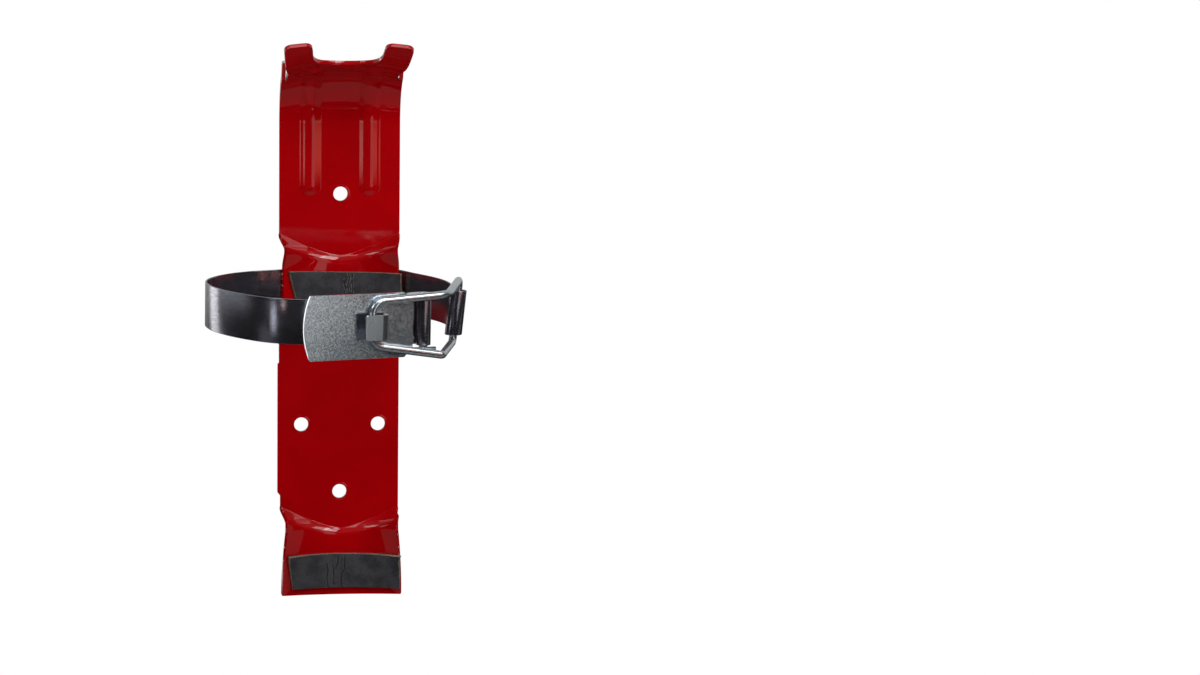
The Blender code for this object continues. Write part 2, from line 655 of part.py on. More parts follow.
def build_lever(material, collection):
    holes = [tab_slot()]
    for side in (-1, 1):
        holes.append(circle(0.0, side * ear_developed(0.0), PIN_RADIUS + PIN_GAP, sides=20))
    blank = flat_blank("lever_blank", lever_outline(), holes, LEVER_THICKNESS)
    bend_middle = EAR_BEND_RADIUS - LEVER_THICKNESS / 2
    bend_q = EAR_HALF_SPACING - EAR_BEND_RADIUS
    for side in (-1, 1):
        bends = [side * (bend_q + bend_middle * math.pi / 2 * k / 4) for k in range(5)]
        cut_across(blank, 1, bends)
    cut_across(blank, 0, [EAR_ROOT_S - EAR_RELIEF, EAR_ROOT_S])
    near_tab = lambda p: abs(p.y) < TAB_HALF_WIDTH + TAB_SLIT and TAB_ROOT_S < p.x < TAB_SLOT_END_S
    cut_across(blank, 0, [TAB_ROOT_S])
    cut_across(blank, 0, spread(TAB_ROOT_S, TAB_ROOT_S + TAB_LENGTH, 0.0009)[1:-1], keep=near_tab)
    return formed_object("latch_lever", blank, lever_surface, 0.0, material, collection)


def build_pin(material, collection):
    mesh = bpy.data.meshes.new("lever_pin")
    pin = bmesh.new()
    bmesh.ops.create_cone(pin, cap_ends=True, segments=24, radius1=PIN_RADIUS, radius2=PIN_RADIUS,
                          depth=2 * EAR_HALF_SPACING)
    pin.to_mesh(mesh)
    pin.free()
    mesh.shade_smooth()
    mesh.set_sharp_from_angle(angle=math.radians(35))
    mesh.materials.append(material)
    part = bpy.data.objects.new("lever_pin", mesh)
    collection.objects.link(part)
    bevel = part.modifiers.new("end_break", "BEVEL")
    bevel.width = 0.0003
    bevel.segments = 2
    bevel.limit_method = "ANGLE"
    return part


def lever_point(s, n, q):
    """Point in the latch frame, given by its place on the lever."""
    along = Vector((-math.cos(LEVER_ANGLE), -math.sin(LEVER_ANGLE), 0))
    out = Vector((math.sin(LEVER_ANGLE), -math.cos(LEVER_ANGLE), 0))
    return Vector((PIN_X, PIN_Y, 0)) + along * s + out * n + Vector((0, 0, q))


def bail_axis_point(q):
    return Vector((BAIL_AXIS_X + q * math.tan(BAIL_EYE_LEAN), BAIL_AXIS_Y, q))


def build_bail(material, collection):
    out = LEVER_FRONT + BAIL_LIFT + WIRE_RADIUS
    corners = [(bail_axis_point(WIRE_BUTT_GAP / 2), 0),
               (bail_axis_point(SHANK_TOP), SHANK_TOP_BEND),
               (lever_point(KNEE_TOP_S, out, KNEE_TOP), KNEE_TOP_BEND),
               (lever_point(HOOK_TOP_S, out, HOOK_TOP), HOOK_TOP_BEND),
               (lever_point(HOOK_FOOT_S, out, HOOK_FOOT), HOOK_FOOT_BEND),
               (lever_point(KNEE_FOOT_S, out, KNEE_FOOT), KNEE_FOOT_BEND),
               (bail_axis_point(SHANK_FOOT), SHANK_FOOT_BEND),
               (bail_axis_point(-WIRE_BUTT_GAP / 2), 0)]
    route = rounded_path(corners, closed=False, angle_step=math.radians(15))
    curve = bpy.data.curves.new("bail", "CURVE")
    curve.dimensions = "3D"
    curve.bevel_depth = WIRE_RADIUS
    curve.bevel_resolution = 3
    curve.use_fill_caps = True
    spline = curve.splines.new("POLY")
    spline.points.add(len(route) - 1)
    for point, place in zip(spline.points, route):
        point.co = (*place, 1)
    curve.materials.append(material)
    part = bpy.data.objects.new("bail", curve)
    collection.objects.link(part)
    return part


def add_empty(name, parent, place, collection):
    frame = bpy.data.objects.new(name, None)
    collection.objects.link(frame)
    frame.parent = parent
    frame.location = place
    return frame


def main():
    clear_scene()
    parts = new_collection(COLLECTION_NAME)
    enamel = new_material("red_enamel", (0.30, 0.0, 0.002), 0.25, 0.0)
    foam = new_material("grey_foam", (0.028, 0.026, 0.030), 0.9, 0.0)
    blued = new_material("dark_spring_steel", (0.20, 0.20, 0.24), 0.3, 1.0)
    zinc = new_material("zinc_plated_steel", (0.55, 0.58, 0.60), 0.3, 1.0)

    build_plate(enamel, parts)
    build_pad("middle_pad", pad_outline(
        MIDDLE_PAD_LEFT, MIDDLE_PAD_LEFT_LIFT, MIDDLE_PAD_RIGHT, MIDDLE_PAD_BARB, MIDDLE_PAD_TOP,
        MIDDLE_PAD_FOOT_LEFT, MIDDLE_PAD_FOOT_RIGHT), foam, parts)
    build_pad("lower_pad", pad_outline(
        LOWER_PAD_LEFT, LOWER_PAD_LEFT_LIFT, LOWER_PAD_RIGHT, LOWER_PAD_BARB, LOWER_PAD_TOP,
        LOWER_PAD_FOOT_LEFT, LOWER_PAD_FOOT_RIGHT), foam, parts)

    latch_place = (BAND_TILT_X, 0, BAND_CENTRE_Z)
    latch = add_empty("latch_frame", None, latch_place, parts)
    latch.rotation_euler = Euler((0, BAND_TILT, 0))
    shift = Vector((-BAND_TILT_X, 0, 0))
    strap = build_band(blued, parts)
    strap.parent = latch
    strap.location = shift
    pin_axis = add_empty("lever_axis", latch, shift + Vector((PIN_X, PIN_Y, 0)), parts)
    lever = build_lever(zinc, parts)
    lever.parent = pin_axis
    lever.rotation_euler = Euler((0, 0, LEVER_ANGLE))
    pin = build_pin(zinc, parts)
    pin.parent = pin_axis
    bail_axis = add_empty("bail_axis", latch, shift + Vector((BAIL_AXIS_X, BAIL_AXIS_Y, 0)), parts)
    bail = build_bail(zinc, parts)
    bail.parent = bail_axis
    bail.location = -Vector((BAIL_AXIS_X, BAIL_AXIS_Y, 0))


if __name__ == "__main__":
    main()
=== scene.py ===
"""Finished look of a fire extinguisher bracket: red enamelled plate, foam pads, sprung steel band
and zinc-plated toggle latch, in metres, in the same frame as the solids that it dresses.
"""

import math

import bmesh
import bpy
from bpy.props import FloatProperty, FloatVectorProperty, PointerProperty
from mathutils import Euler, Matrix, Vector, noise


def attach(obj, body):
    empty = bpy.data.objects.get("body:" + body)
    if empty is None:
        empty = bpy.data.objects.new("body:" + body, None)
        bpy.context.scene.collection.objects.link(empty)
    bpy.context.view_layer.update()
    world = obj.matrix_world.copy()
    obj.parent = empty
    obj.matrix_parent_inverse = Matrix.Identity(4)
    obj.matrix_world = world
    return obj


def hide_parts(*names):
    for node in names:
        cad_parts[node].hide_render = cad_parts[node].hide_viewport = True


bl_info = {
    "name": "Extinguisher Bracket",
    "version": (1, 0, 0),
    "blender": (4, 5, 0),
    "location": "View3D > Sidebar > Bracket",
    "description": "Builds the finished surfaces of a wall bracket for a fire extinguisher",
    "category": "Object",
}

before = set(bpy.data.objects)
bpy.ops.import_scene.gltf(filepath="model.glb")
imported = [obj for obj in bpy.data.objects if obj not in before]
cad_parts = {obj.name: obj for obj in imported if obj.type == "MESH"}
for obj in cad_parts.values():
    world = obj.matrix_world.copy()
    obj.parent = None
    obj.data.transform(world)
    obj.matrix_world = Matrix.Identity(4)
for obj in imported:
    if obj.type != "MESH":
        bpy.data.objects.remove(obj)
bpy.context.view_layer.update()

# Plate, developed flat in (u, v)
BLANK_HALF_WIDTH = 0.028575
BLANK_BOTTOM = -0.0665
BLANK_CORNER = 0.0008
LEFT_STEP_OUT = 0.00065
LEFT_STEP_OUT_Z = 0.0457
LEFT_STEP_IN = 0.0013
LEFT_STEP_IN_Z = -0.0168
RIGHT_STEP_OUT = 0.0008
RIGHT_STEP_OUT_Z = -0.0270
STEP_RUN = 0.0016
BOTTOM_LEFT_DRIFT = 0.0004
BOTTOM_RIGHT_DRIFT = 0.0009
HOLE_DIAMETER = 0.0068
HOLE_LINE_X = 0.0004
TOP_HOLE_Z = 0.1265
PAIR_HOLE_Z = 0.0160
PAIR_HALF_SPACING = 0.01835
BOTTOM_HOLE_Z = -0.01655
HOLES = ((HOLE_LINE_X, TOP_HOLE_Z), (HOLE_LINE_X - PAIR_HALF_SPACING, PAIR_HOLE_Z),
         (HOLE_LINE_X + PAIR_HALF_SPACING, PAIR_HOLE_Z), (HOLE_LINE_X, BOTTOM_HOLE_Z))
LEAN_START_Z = 0.160
LEAN_RADIUS = 0.0262
LEAN_ANGLE = math.radians(58)
SHELF_BEND_RADIUS = 0.0262
SHELF_RISE = math.radians(15.8)
SHELF_LENGTH = 0.0139
PRONG_BEND_RADIUS = 0.0378
PRONG_RISE = math.radians(39.1)
PRONG_LENGTH = 0.0064
SHELF_CROWN = 0.0032
NECK_SLOT_RADIUS = 0.0163
NECK_SLOT_DEPTH = 0.0235
PRONG_TIP_INNER = 0.0171
PRONG_TIP_OUTER = 0.0301
PRONG_WAIST = 0.0268
PRONG_FLARE = 0.0278
PRONG_FLARE_V = 0.2065
PRONG_FLARE_BLEND = 0.010
PRONG_TIP_CORNER = 0.0031
PRONG_INNER_CORNER = 0.0036
EAR_WIDTH = 0.001875
EAR_SLIT = 0.0005
EAR_SLIT_OUTER = BLANK_HALF_WIDTH - EAR_WIDTH
EAR_SLIT_INNER = EAR_SLIT_OUTER - EAR_SLIT
EAR_LENGTH = 0.0097
EAR_CLEARANCE = 0.0010
EAR_TURN_RADIUS = 0.0030
EAR_TURN = math.radians(30)
RIB_SPACING = 0.0140
RIB_HALF_WIDTH = 0.0046
RIB_FOOT = 0.0006
RIB_LOWER_END = 0.1305
RIB_UPPER_END = 0.1960
CRADLE_STANDOFF = 0.0016
CRADLE_RADIUS = 0.058
CREASE_RADIUS = 0.041
SMILE_POWER = 1.5
MIDDLE_TOP_Z = 0.0975
MIDDLE_TOP_SMILE = 0.0105
MIDDLE_FOOT_Z = 0.0640
MIDDLE_FOOT_SMILE = 0.0100
LOWER_TOP_Z = -0.0340
LOWER_TOP_SMILE = 0.0105
CREASE_RUN_CENTRE = 0.0045
CREASE_RUN_EDGE = 0.0062
CREASE_TIGHT_REACH = 0.0055
CREASE_TIGHT_RISE = 0.0030
CREASE_TIGHT_SHARE = 0.22
LOWER_SHIFT = 0.00075
LOWER_EDGE_RADIUS = 0.250
CREASE_ROW = 0.00032
FOOT_ROW = 0.0006
BEND_ROW = 0.0009
LEAN_ROW = 0.0014
PRONG_ROW = 0.0013
CRADLE_ROW = 0.0025
FLAT_ROW = 0.012
UPPER_FLAT_ROW = 0.009
PLATE_COLUMNS = 29
RIB_COLUMNS = 9

# Pads
PAD_GAP = 0.0003
PAD_HEIGHT = 0.0166
PAD_BARB_DROP = 0.0030
PAD_RAG = 0.00009
PAD_EDGE_ROUNDING = 0.00012
PAD_SWELL = 0.00010
PAD_WRINKLE = 0.00007
PAD_SINK = 0.00017
CRACK_LIP_RISE = 0.00010
CRACK_DEPTH = 0.00040
CRACK_WIDTH = 0.00020
MIDDLE_CRACKS = (((0.0040, 0.0), (0.0047, -0.0030), (0.0039, -0.0062), (0.0046, -0.0100), (0.0040, -0.0166)),
                 ((0.0066, -0.0002), (0.0058, -0.0036), (0.0064, -0.0078), (0.0060, -0.0120)),
                 ((0.0020, -0.0040), (0.0028, -0.0080), (0.0021, -0.0110)))
LOWER_CRACKS = (((-0.0062, -0.0045), (-0.0055, -0.0085), (-0.0060, -0.0120), (-0.0052, -0.0166)),
                ((-0.0004, -0.0018), (-0.0007, -0.0045), (-0.0016, -0.0075)),
                ((0.0030, -0.0008), (0.0028, -0.0074), (0.0013, -0.0096), (0.0010, -0.0128),
                 (0.0016, -0.0166)),
                ((-0.0030, -0.0060), (-0.0024, -0.0110), (-0.0028, -0.0150)))
MIDDLE_PAD = dict(left=-0.0264, left_lift=0.0010, right=0.0310, barb=0.0, top=0.0896,
                  foot_left=-0.0216, foot_right=0.0318)
LOWER_PAD = dict(left=-0.0263, left_lift=0.0, right=0.0314, barb=0.0010, top=-0.0462,
                 foot_left=-0.0227, foot_right=0.0298)

# Band and latch, in the latch frame
BAND_CENTRE_Z = 0.0811
BAND_GAP = 0.00035
BAND_TILT = math.radians(0.6)
BAND_TILT_X = -0.025
BAND_SIDE_INSET = 0.0003
BAND_EDGE_ROUNDING = 0.00035
BAND_FRONT_ANGLE = math.radians(3.6)
BAND_SIDE_ANGLE = math.radians(17)
BAND_LEFT_SIDE = ((0.0, -0.1168), (-0.016, -0.1178), (-0.0255, -0.1183), (-0.0345, -0.1162),
                  (-0.0430, -0.1106), (-0.0512, -0.1006), (-0.0585, -0.0882), (-0.0636, -0.0750),
                  (-0.0660, -0.0590), (-0.0646, -0.0460), (-0.0600, -0.0345), (-0.0525, -0.0236),
                  (-0.0435, -0.0157), (-0.0350, -0.0112))
BAND_RIGHT_SIDE = ((0.0307, -0.0124), (0.0337, -0.0192), (0.0375, -0.0266), (0.0410, -0.0340),
                   (0.0438, -0.0420), (0.0458, -0.0510), (0.0465, -0.0600), (0.0460, -0.0700),
                   (0.0443, -0.0775))
EYE_SWEEP = math.radians(298)
PIN_X = 0.0275
PIN_Y = -0.1180
PIN_RADIUS = 0.0020
PIN_GAP = 0.0003
PIN_EYE_RADIUS = 0.00295
BAIL_AXIS_X = 0.0460
BAIL_AXIS_Y = -0.0840
BAIL_EYE_RADIUS = 0.00355
BAIL_EYE_LEAN = math.radians(5.4)
LEAN_FADE_START = 0.0048
LEAN_FADE_RUN = 0.0120
LEVER_ANGLE = math.radians(19)
LEVER_FRONT = 0.0052
LEVER_HALF_HEIGHT = 0.0145
LEVER_CORNER_S = 0.0570
LEVER_END_SAGITTA = 0.0030
WINDOW_S = 0.0076
WINDOW_HALF_HEIGHT = 0.0106
EAR_HALF_SPACING = 0.0132
EAR_BEND_RADIUS = 0.0019
EAR_BACK = 0.0040
EAR_HALF_WIDTH = 0.0040
EAR_ROOT_S = 0.0110
EAR_RELIEF = 0.0008
LEVER_EDGE_ROUNDING = 0.00022
PIN_CHAMFER = 0.0003
TAB_ROOT_S = 0.0201
TAB_HALF_WIDTH = 0.00560
TAB_SLIT = 0.0003
TAB_SLOT_END_S = 0.0350
TAB_LENGTH = 0.0141
TAB_DRAW = 1.26
TAB_ROOT_RADIUS = 0.0018
TAB_ROOT_ANGLE = math.radians(82)
TAB_RISE = 0.0029
TAB_CROWN_RADIUS = 0.0030
TAB_TIP_ANGLE = math.radians(2)
BAIL_LIFT = 0.0005
HOOK_TOP_S = 0.0287
HOOK_FOOT_S = 0.0274
HOOK_TOP = 0.0112
HOOK_FOOT = -0.0086
KNEE_TOP_S = -0.0084
KNEE_TOP = 0.0131
KNEE_FOOT_S = -0.0060
KNEE_FOOT = -0.0140
SHANK_TOP = 0.0152
SHANK_FOOT = -0.0136
HOOK_TOP_BEND = 0.0062
HOOK_FOOT_BEND = 0.0052
KNEE_TOP_BEND = 0.0090
KNEE_FOOT_BEND = 0.0022
SHANK_TOP_BEND = 0.0038
SHANK_FOOT_BEND = 0.0024
WIRE_BUTT_GAP = 0.0006

# Camera, worked out from the photograph
CAMERA_PLACE = (-0.15554, -1.77781, 0.30595)
CAMERA_YAW = math.radians(9.002)
CAMERA_PITCH = math.radians(7.893)
CAMERA_ROLL = math.radians(0.759)
CAMERA_LENS = 113.09

# Finishes
BARE_STEEL = (0.62, 0.50, 0.46)
CRACK_DUST = (0.19, 0.18, 0.17)
# Painted shade down the middle of the foam's cracks
CRACK_PAINTED_SHADE = (0.004, 0.004, 0.004)
FRAYED_EDGE = (0.20, 0.165, 0.12)
HEAT_TINT = (0.17, 0.15, 0.155)
# Painted highlight: near-white colour for the lever's cut edges
PAINTED_HIGHLIGHT_EDGE = (0.86, 0.88, 0.90)

# Lamps: name, setting that gives the radiance, share of it, place, target, width, height, roll
MIDDLE = (0, -0.04, 0.05)
SOFTBOXES = (
    ("fill_left", "fill", 1.0, (-0.30, -0.42, 0.20), MIDDLE, 0.4, 0.4, 0),
    ("fill_right", "fill", 1.0, (0.30, -0.42, 0.20), MIDDLE, 0.4, 0.4, 0),
    ("lever_softbox", "side", 1.0, (0.216, -0.401, 0.163), (0.06, -0.13, 0.08), 0.16, 0.36, -30),
    ("strip_light", "strip", 1.0, (-1.19, -0.72, -0.03), MIDDLE, 0.22, 0.40, 0),
    ("rim_light", "rim", 1.0, (-0.68, 0.83, 0.05), (-0.06, -0.08, 0.08), 0.45, 0.9, 0),
    ("top_softbox", "top", 1.0, (0, -0.45, 1.2), MIDDLE, 0.9, 0.5, 0),
    ("key_light", "key", 1.0, (0.54, -1.0, 1.05), MIDDLE, 0.60, 0.60, 0),
    ("right_key", "key", 0.5, (0.95, -0.70, 1.05), MIDDLE, 0.80, 0.50, 0),
    ("left_key", "key", 0.5, (-1.06, -0.56, 1.00), MIDDLE, 0.50, 0.50, 0))

# Cards that only reflections see: the backdrop, the floor, and one on each side for the ribs, as
# name, place, width and tint
BACKDROP_Y = 0.9
BACKDROP_SHINE_FROM = -0.25
BACKDROP_SHINE_TO = 0.15
BACKDROP_LOW_SHINE = 0.015
FLOOR_Z = -0.75
FLOOR_SHINE_FRONT = -1.0
FLOOR_SHINE_BACK = 0.03
RIB_CARDS = (("rib_card_right", (0.262, -0.305, 0.113), 0.126, (1.0, 0.30, 0.22)),
             ("rib_card_left", (-0.235, -0.324, 0.113), 0.042, (1.0, 0.70, 0.60)))
RIB_CARD_HEIGHT = 0.06
RIB_CARD_FADE_IN = (0.088, 0.106)
RIB_CARD_FADE_OUT = (0.118, 0.138)


def size_property(name, description, default):
    return FloatProperty(name=name, description=description, default=default, min=0.0001,
                         unit="LENGTH", precision=5)


def colour_property(name, description, default):
    return FloatVectorProperty(name=name, description=description, default=default, min=0, max=1,
                               subtype="COLOR")


def strength_property(name, description, default):
    return FloatProperty(name=name, description=description, default=default, min=0)


class BracketPlateSettings(bpy.types.PropertyGroup):
    thickness: size_property("Thickness", "Thickness of the stamped plate", 0.0019)
    rim: size_property("Rim rounding", "Rounding that the enamel gives the cut edges", 0.00055)
    rib_height: size_property("Rib height", "How far the two ribs stand forward", 0.0014)
    colour: colour_property("Enamel", "Colour of the baked enamel", (0.300, 0.0003, 0.0018))


class BracketPadSettings(bpy.types.PropertyGroup):
    thickness: size_property("Thickness", "Thickness of the foam", 0.0020)
    colour: colour_property("Foam", "Colour of the foam", (0.028, 0.027, 0.031))


class BracketBandSettings(bpy.types.PropertyGroup):
    thickness: size_property("Thickness", "Thickness of the spring band", 0.0008)
    height: size_property("Height", "Height of the spring band", 0.0204)
    colour: colour_property("Steel", "Colour of the dark spring steel", (0.19, 0.195, 0.24))


class BracketLatchSettings(bpy.types.PropertyGroup):
    thickness: size_property("Lever thickness", "Thickness of the stamped lever", 0.0015)
    wire_radius: size_property("Wire radius", "Radius of the bail's wire", 0.0018)
    colour: colour_property("Zinc", "Colour of the zinc plate", (0.54, 0.585, 0.61))


class BracketStageSettings(bpy.types.PropertyGroup):
    fill: strength_property("Fill", "Radiance of the two fills", 1.95)
    side: strength_property("Side", "Radiance of the softbox that the lever mirrors", 0.8)
    rib: strength_property("Rib", "Radiance of the cards that the ribs mirror", 2.2)
    strip: strength_property("Strip", "Radiance of the strip at the left", 1.7)
    rim: strength_property("Rim", "Radiance of the light behind left", 1.9)
    top: strength_property("Top", "Radiance of the overhead softbox", 2.2)
    key: strength_property("Key", "Radiance of the key light", 7.0)
    floor_shine: strength_property("Floor shine", "How bright reflections see the floor", 0.19)
    wall_shine: strength_property("Wall shine", "How bright reflections see the backdrop", 0.5)
    room: strength_property("Room", "Light from all round", 0.008)
    sky: strength_property("Sky", "Light from overhead", 0.20)


class Socket:
    """A shader socket that can be used in Python expressions."""

    def __init__(self, nodes, socket):
        self.nodes = nodes
        self.socket = socket

    def math(self, operation, *others):
        return self.nodes.add("ShaderNodeMath", {"operation": operation},
                              dict(enumerate([self, *others])))

    def __add__(self, other):
        return self.math("ADD", other)

    __radd__ = __add__

    def __mul__(self, other):
        return self.math("MULTIPLY", other)

    __rmul__ = __mul__

    def __sub__(self, other):
        return self.math("SUBTRACT", other)

    def __rsub__(self, other):
        return self.math("MULTIPLY", -1.0).math("ADD", other)


class Nodes:
    """Adds nodes to the tree of a material or a world and links them."""

    def __init__(self, owner):
        owner.use_nodes = True
        self.tree = owner.node_tree
        self.tree.nodes.clear()

    def add(self, kind, settings=None, values=None, output=0):
        node = self.tree.nodes.new(kind)
        for name, value in (settings or {}).items():
            setattr(node, name, value)
        for name, value in (values or {}).items():
            if isinstance(value, Socket):
                self.tree.links.new(value.socket, node.inputs[name])
            elif node.inputs[name].type == "RGBA":
                node.inputs[name].default_value = (*value, 1)
            else:
                node.inputs[name].default_value = value
        return Socket(self, node.outputs[output]) if node.outputs else node

    def place(self, scale=(1, 1, 1)):
        """Place on the object, with its axes scaled."""
        where = self.add("ShaderNodeTexCoord", output=3)
        return self.add("ShaderNodeMapping", {}, {"Vector": where, "Scale": scale})

    def noise(self, where, scale, detail=2.0, roughness=0.5):
        return self.add("ShaderNodeTexNoise", {}, {"Vector": where, "Scale": scale, "Detail": detail,
                                                   "Roughness": roughness})

    def cells(self, where, scale, output):
        """Distance to a random cell's middle, as output 0, or its own colour, as output 1."""
        return self.add("ShaderNodeTexVoronoi", {}, {"Vector": where, "Scale": scale}, output=output)

    def across(self, where, axis):
        """One coordinate of a place."""
        return self.add("ShaderNodeSeparateXYZ", {}, {"Vector": where}, output=axis)

    def attribute(self, name):
        return self.add("ShaderNodeAttribute", {"attribute_name": name}, output=2)

    def step(self, value, low, high, to_low=0.0, to_high=1.0):
        """Smooth change from to_low to to_high as the value goes from low to high."""
        return self.add("ShaderNodeMapRange", {"interpolation_type": "SMOOTHSTEP"},
                        {"Value": value, "From Min": low, "From Max": high, "To Min": to_low,
                         "To Max": to_high})

    def mix(self, factor, first, second):
        node = self.tree.nodes.new("ShaderNodeMix")
        node.data_type = "RGBA"
        for socket, value in ((node.inputs[0], factor), (node.inputs[6], first), (node.inputs[7], second)):
            if isinstance(value, Socket):
                self.tree.links.new(value.socket, socket)
            else:
                socket.default_value = (*value, 1) if isinstance(value, (tuple, list)) else value
        return Socket(self, node.outputs[2])

    def bump(self, height, distance, strength=1.0):
        return self.add("ShaderNodeBump", {}, {"Height": height, "Distance": distance,
                                               "Strength": strength})

    def principled(self, values):
        shader = self.add("ShaderNodeBsdfPrincipled", {}, values)
        self.add("ShaderNodeOutputMaterial", {}, {"Surface": shader})
        return shader


def ease(t):
    t = min(1.0, max(0.0, t))
    return t * t * (3 - 2 * t)


def fillet(before, corner, after, radius, angle_step):
    """Points of the arc that rounds a corner between two straight runs."""
    towards_a = (before - corner).normalized()
    towards_b = (after - corner).normalized()
    half = towards_a.angle(towards_b) / 2
    if radius <= 0 or half > math.radians(89.5):
        return [corner.copy()]
    centre = corner + (towards_a + towards_b).normalized() * radius / math.sin(half)
    start = corner + towards_a * radius / math.tan(half) - centre
    end = corner + towards_b * radius / math.tan(half) - centre
    sweep = start.angle(end)
    steps = max(1, round(sweep / angle_step))
    arc = []
    for k in range(steps + 1):
        a = sweep * k / steps
        arc.append(centre + (start * math.sin(sweep - a) + end * math.sin(a)) / math.sin(sweep))
    return arc


def rounded_path(corners, closed, angle_step):
    """Corners as (point, radius), each turned into an arc of its radius."""
    points = []
    count = len(corners)
    for i, (corner, radius) in enumerate(corners):
        if not closed and i in (0, count - 1):
            points.append(corner.copy())
            continue
        points.extend(fillet(corners[i - 1][0], corner, corners[(i + 1) % count][0], radius, angle_step))
    return points


def smooth_path(points, step):
    """Catmull-Rom curve through plan points, with a point about every step."""
    padded = [points[0] * 2 - points[1], *points, points[-1] * 2 - points[-2]]
    path = [points[0].copy()]
    for i in range(1, len(padded) - 2):
        a, b, c, d = padded[i - 1:i + 3]
        pieces = max(1, round((c - b).length / step))
        for k in range(1, pieces + 1):
            t = k / pieces
            path.append(0.5 * (2 * b + (c - a) * t + (2 * a - 5 * b + 4 * c - d) * t * t
                               + (3 * b - a - 3 * c + d) * t ** 3))
    return path


def spread(start, end, step):
    count = max(1, round(abs(end - start) / step))
    return [start + (end - start) * k / count for k in range(count + 1)]


def circle(centre_x, centre_y, radius, sides):
    step = 2 * math.pi / sides
    return [Vector((centre_x + radius * math.cos(step * k), centre_y + radius * math.sin(step * k)))
            for k in range(sides)]


def flat_blank(outline, holes, thickness, rim):
    """Bmesh of a flat sheet cut to an outline, with its cut edges rounded by rim."""
    curve = bpy.data.curves.new("blank", "CURVE")
    curve.dimensions = "2D"
    curve.fill_mode = "BOTH"
    curve.extrude = thickness / 2
    for loop in (outline, *holes):
        spline = curve.splines.new("POLY")
        spline.points.add(len(loop) - 1)
        for point, place in zip(spline.points, loop):
            point.co = (place.x, place.y, 0, 1)
        spline.use_cyclic_u = True
    guide = bpy.data.objects.new("blank", curve)
    bpy.context.scene.collection.objects.link(guide)
    mesh = bpy.data.meshes.new_from_object(guide.evaluated_get(bpy.context.evaluated_depsgraph_get()))
    blank = bmesh.new()
    blank.from_mesh(mesh)
    bpy.data.objects.remove(guide)
    bpy.data.meshes.remove(mesh)
    bmesh.ops.remove_doubles(blank, verts=blank.verts, dist=1e-6)
    bmesh.ops.dissolve_limit(blank, angle_limit=math.radians(1), verts=blank.verts, edges=blank.edges)
    rims = [e for e in blank.edges if len(e.link_faces) == 2 and e.calc_face_angle() > 1.2
            and abs(e.verts[0].co.z - e.verts[1].co.z) < thickness / 4]
    bmesh.ops.bevel(blank, geom=rims, offset=rim, offset_type="OFFSET", segments=3, profile=0.5,
                    affect="EDGES", clamp_overlap=True)
    return blank


def cut_across(blank, axis, places, keep=None):
    """Score the blank with planes, so that it can bend there."""
    normal = Vector((1, 0, 0)) if axis == 0 else Vector((0, 1, 0))
    for place in places:
        if keep is None:
            geometry = blank.faces[:] + blank.edges[:] + blank.verts[:]
        else:
            faces = [f for f in blank.faces if keep(f.calc_center_median())]
            geometry = faces + list({e for f in faces for e in f.edges}) \
                + list({v for f in faces for v in f.verts})
        bmesh.ops.bisect_plane(blank, geom=geometry, dist=1e-7, plane_co=normal * place,
                               plane_no=normal)


def on_cut_edge(w, thickness):
    """Whether a height in a blank is between its two faces."""
    return abs(w) < thickness / 2 - 1e-7


def smooth_by_angle(mesh, degrees):
    mesh.shade_smooth()
    mesh.set_sharp_from_angle(angle=math.radians(degrees))


def formed_mesh(name, blank, surface, offset, thickness, marks=None, relief=None):
    """Press the flat blank onto surface(u, v). The normals come from the surface itself, or from
    the mesh where relief(u, v, w) raises the skin. marks maps an attribute name to a function of
    the flat place that gives its value."""
    bmesh.ops.triangulate(blank, faces=[f for f in blank.faces if len(f.verts) > 4])
    blank.normal_update()
    reach = 2e-5
    normals = []
    values = {mark: [] for mark in marks or {}}
    for vert in blank.verts:
        u, v, w = vert.co
        flat = vert.normal if on_cut_edge(w, thickness) else Vector((0, 0, math.copysign(1, w)))
        for mark, rule in (marks or {}).items():
            values[mark].append(rule(u, v, w))
        across = surface(u + reach, v) - surface(u - reach, v)
        along = surface(u, v + reach) - surface(u, v - reach)
        out = across.cross(along).normalized()
        across.normalize()
        vert.co = surface(u, v) + out * (w + offset + (relief(u, v, w) if relief else 0.0))
        normals.append((across * flat.x + out.cross(across) * flat.y + out * flat.z).normalized())
    mesh = bpy.data.meshes.new(name)
    blank.to_mesh(mesh)
    blank.free()
    if relief:
        smooth_by_angle(mesh, 50)
    else:
        mesh.shade_smooth()
        mesh.normals_split_custom_set_from_vertices(normals)
    for mark, numbers in values.items():
        layer = mesh.attributes.new(mark, "FLOAT", "POINT")
        layer.data.foreach_set("value", numbers)
    return mesh


def finished(name, mesh, material, body, node):
    """Object for a finished mesh, riding on its body in place of its solid."""
    mesh.materials.clear()
    mesh.materials.append(material)
    piece = bpy.data.objects.new(name, mesh)
    bpy.context.scene.collection.objects.link(piece)
    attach(piece, body)
    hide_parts(node)
    return piece


def latch_matrix():
    """From the latch frame, whose origin is the band's middle height at x = 0, to the world."""
    turn = Euler((0, BAND_TILT, 0)).to_matrix().to_4x4()
    return (Matrix.Translation((BAND_TILT_X, 0, BAND_CENTRE_Z)) @ turn
            @ Matrix.Translation((-BAND_TILT_X, 0, 0)))


def lever_matrix():
    return (latch_matrix() @ Matrix.Translation((PIN_X, PIN_Y, 0))
            @ Matrix.Rotation(LEVER_ANGLE, 4, "Z"))


# Plate

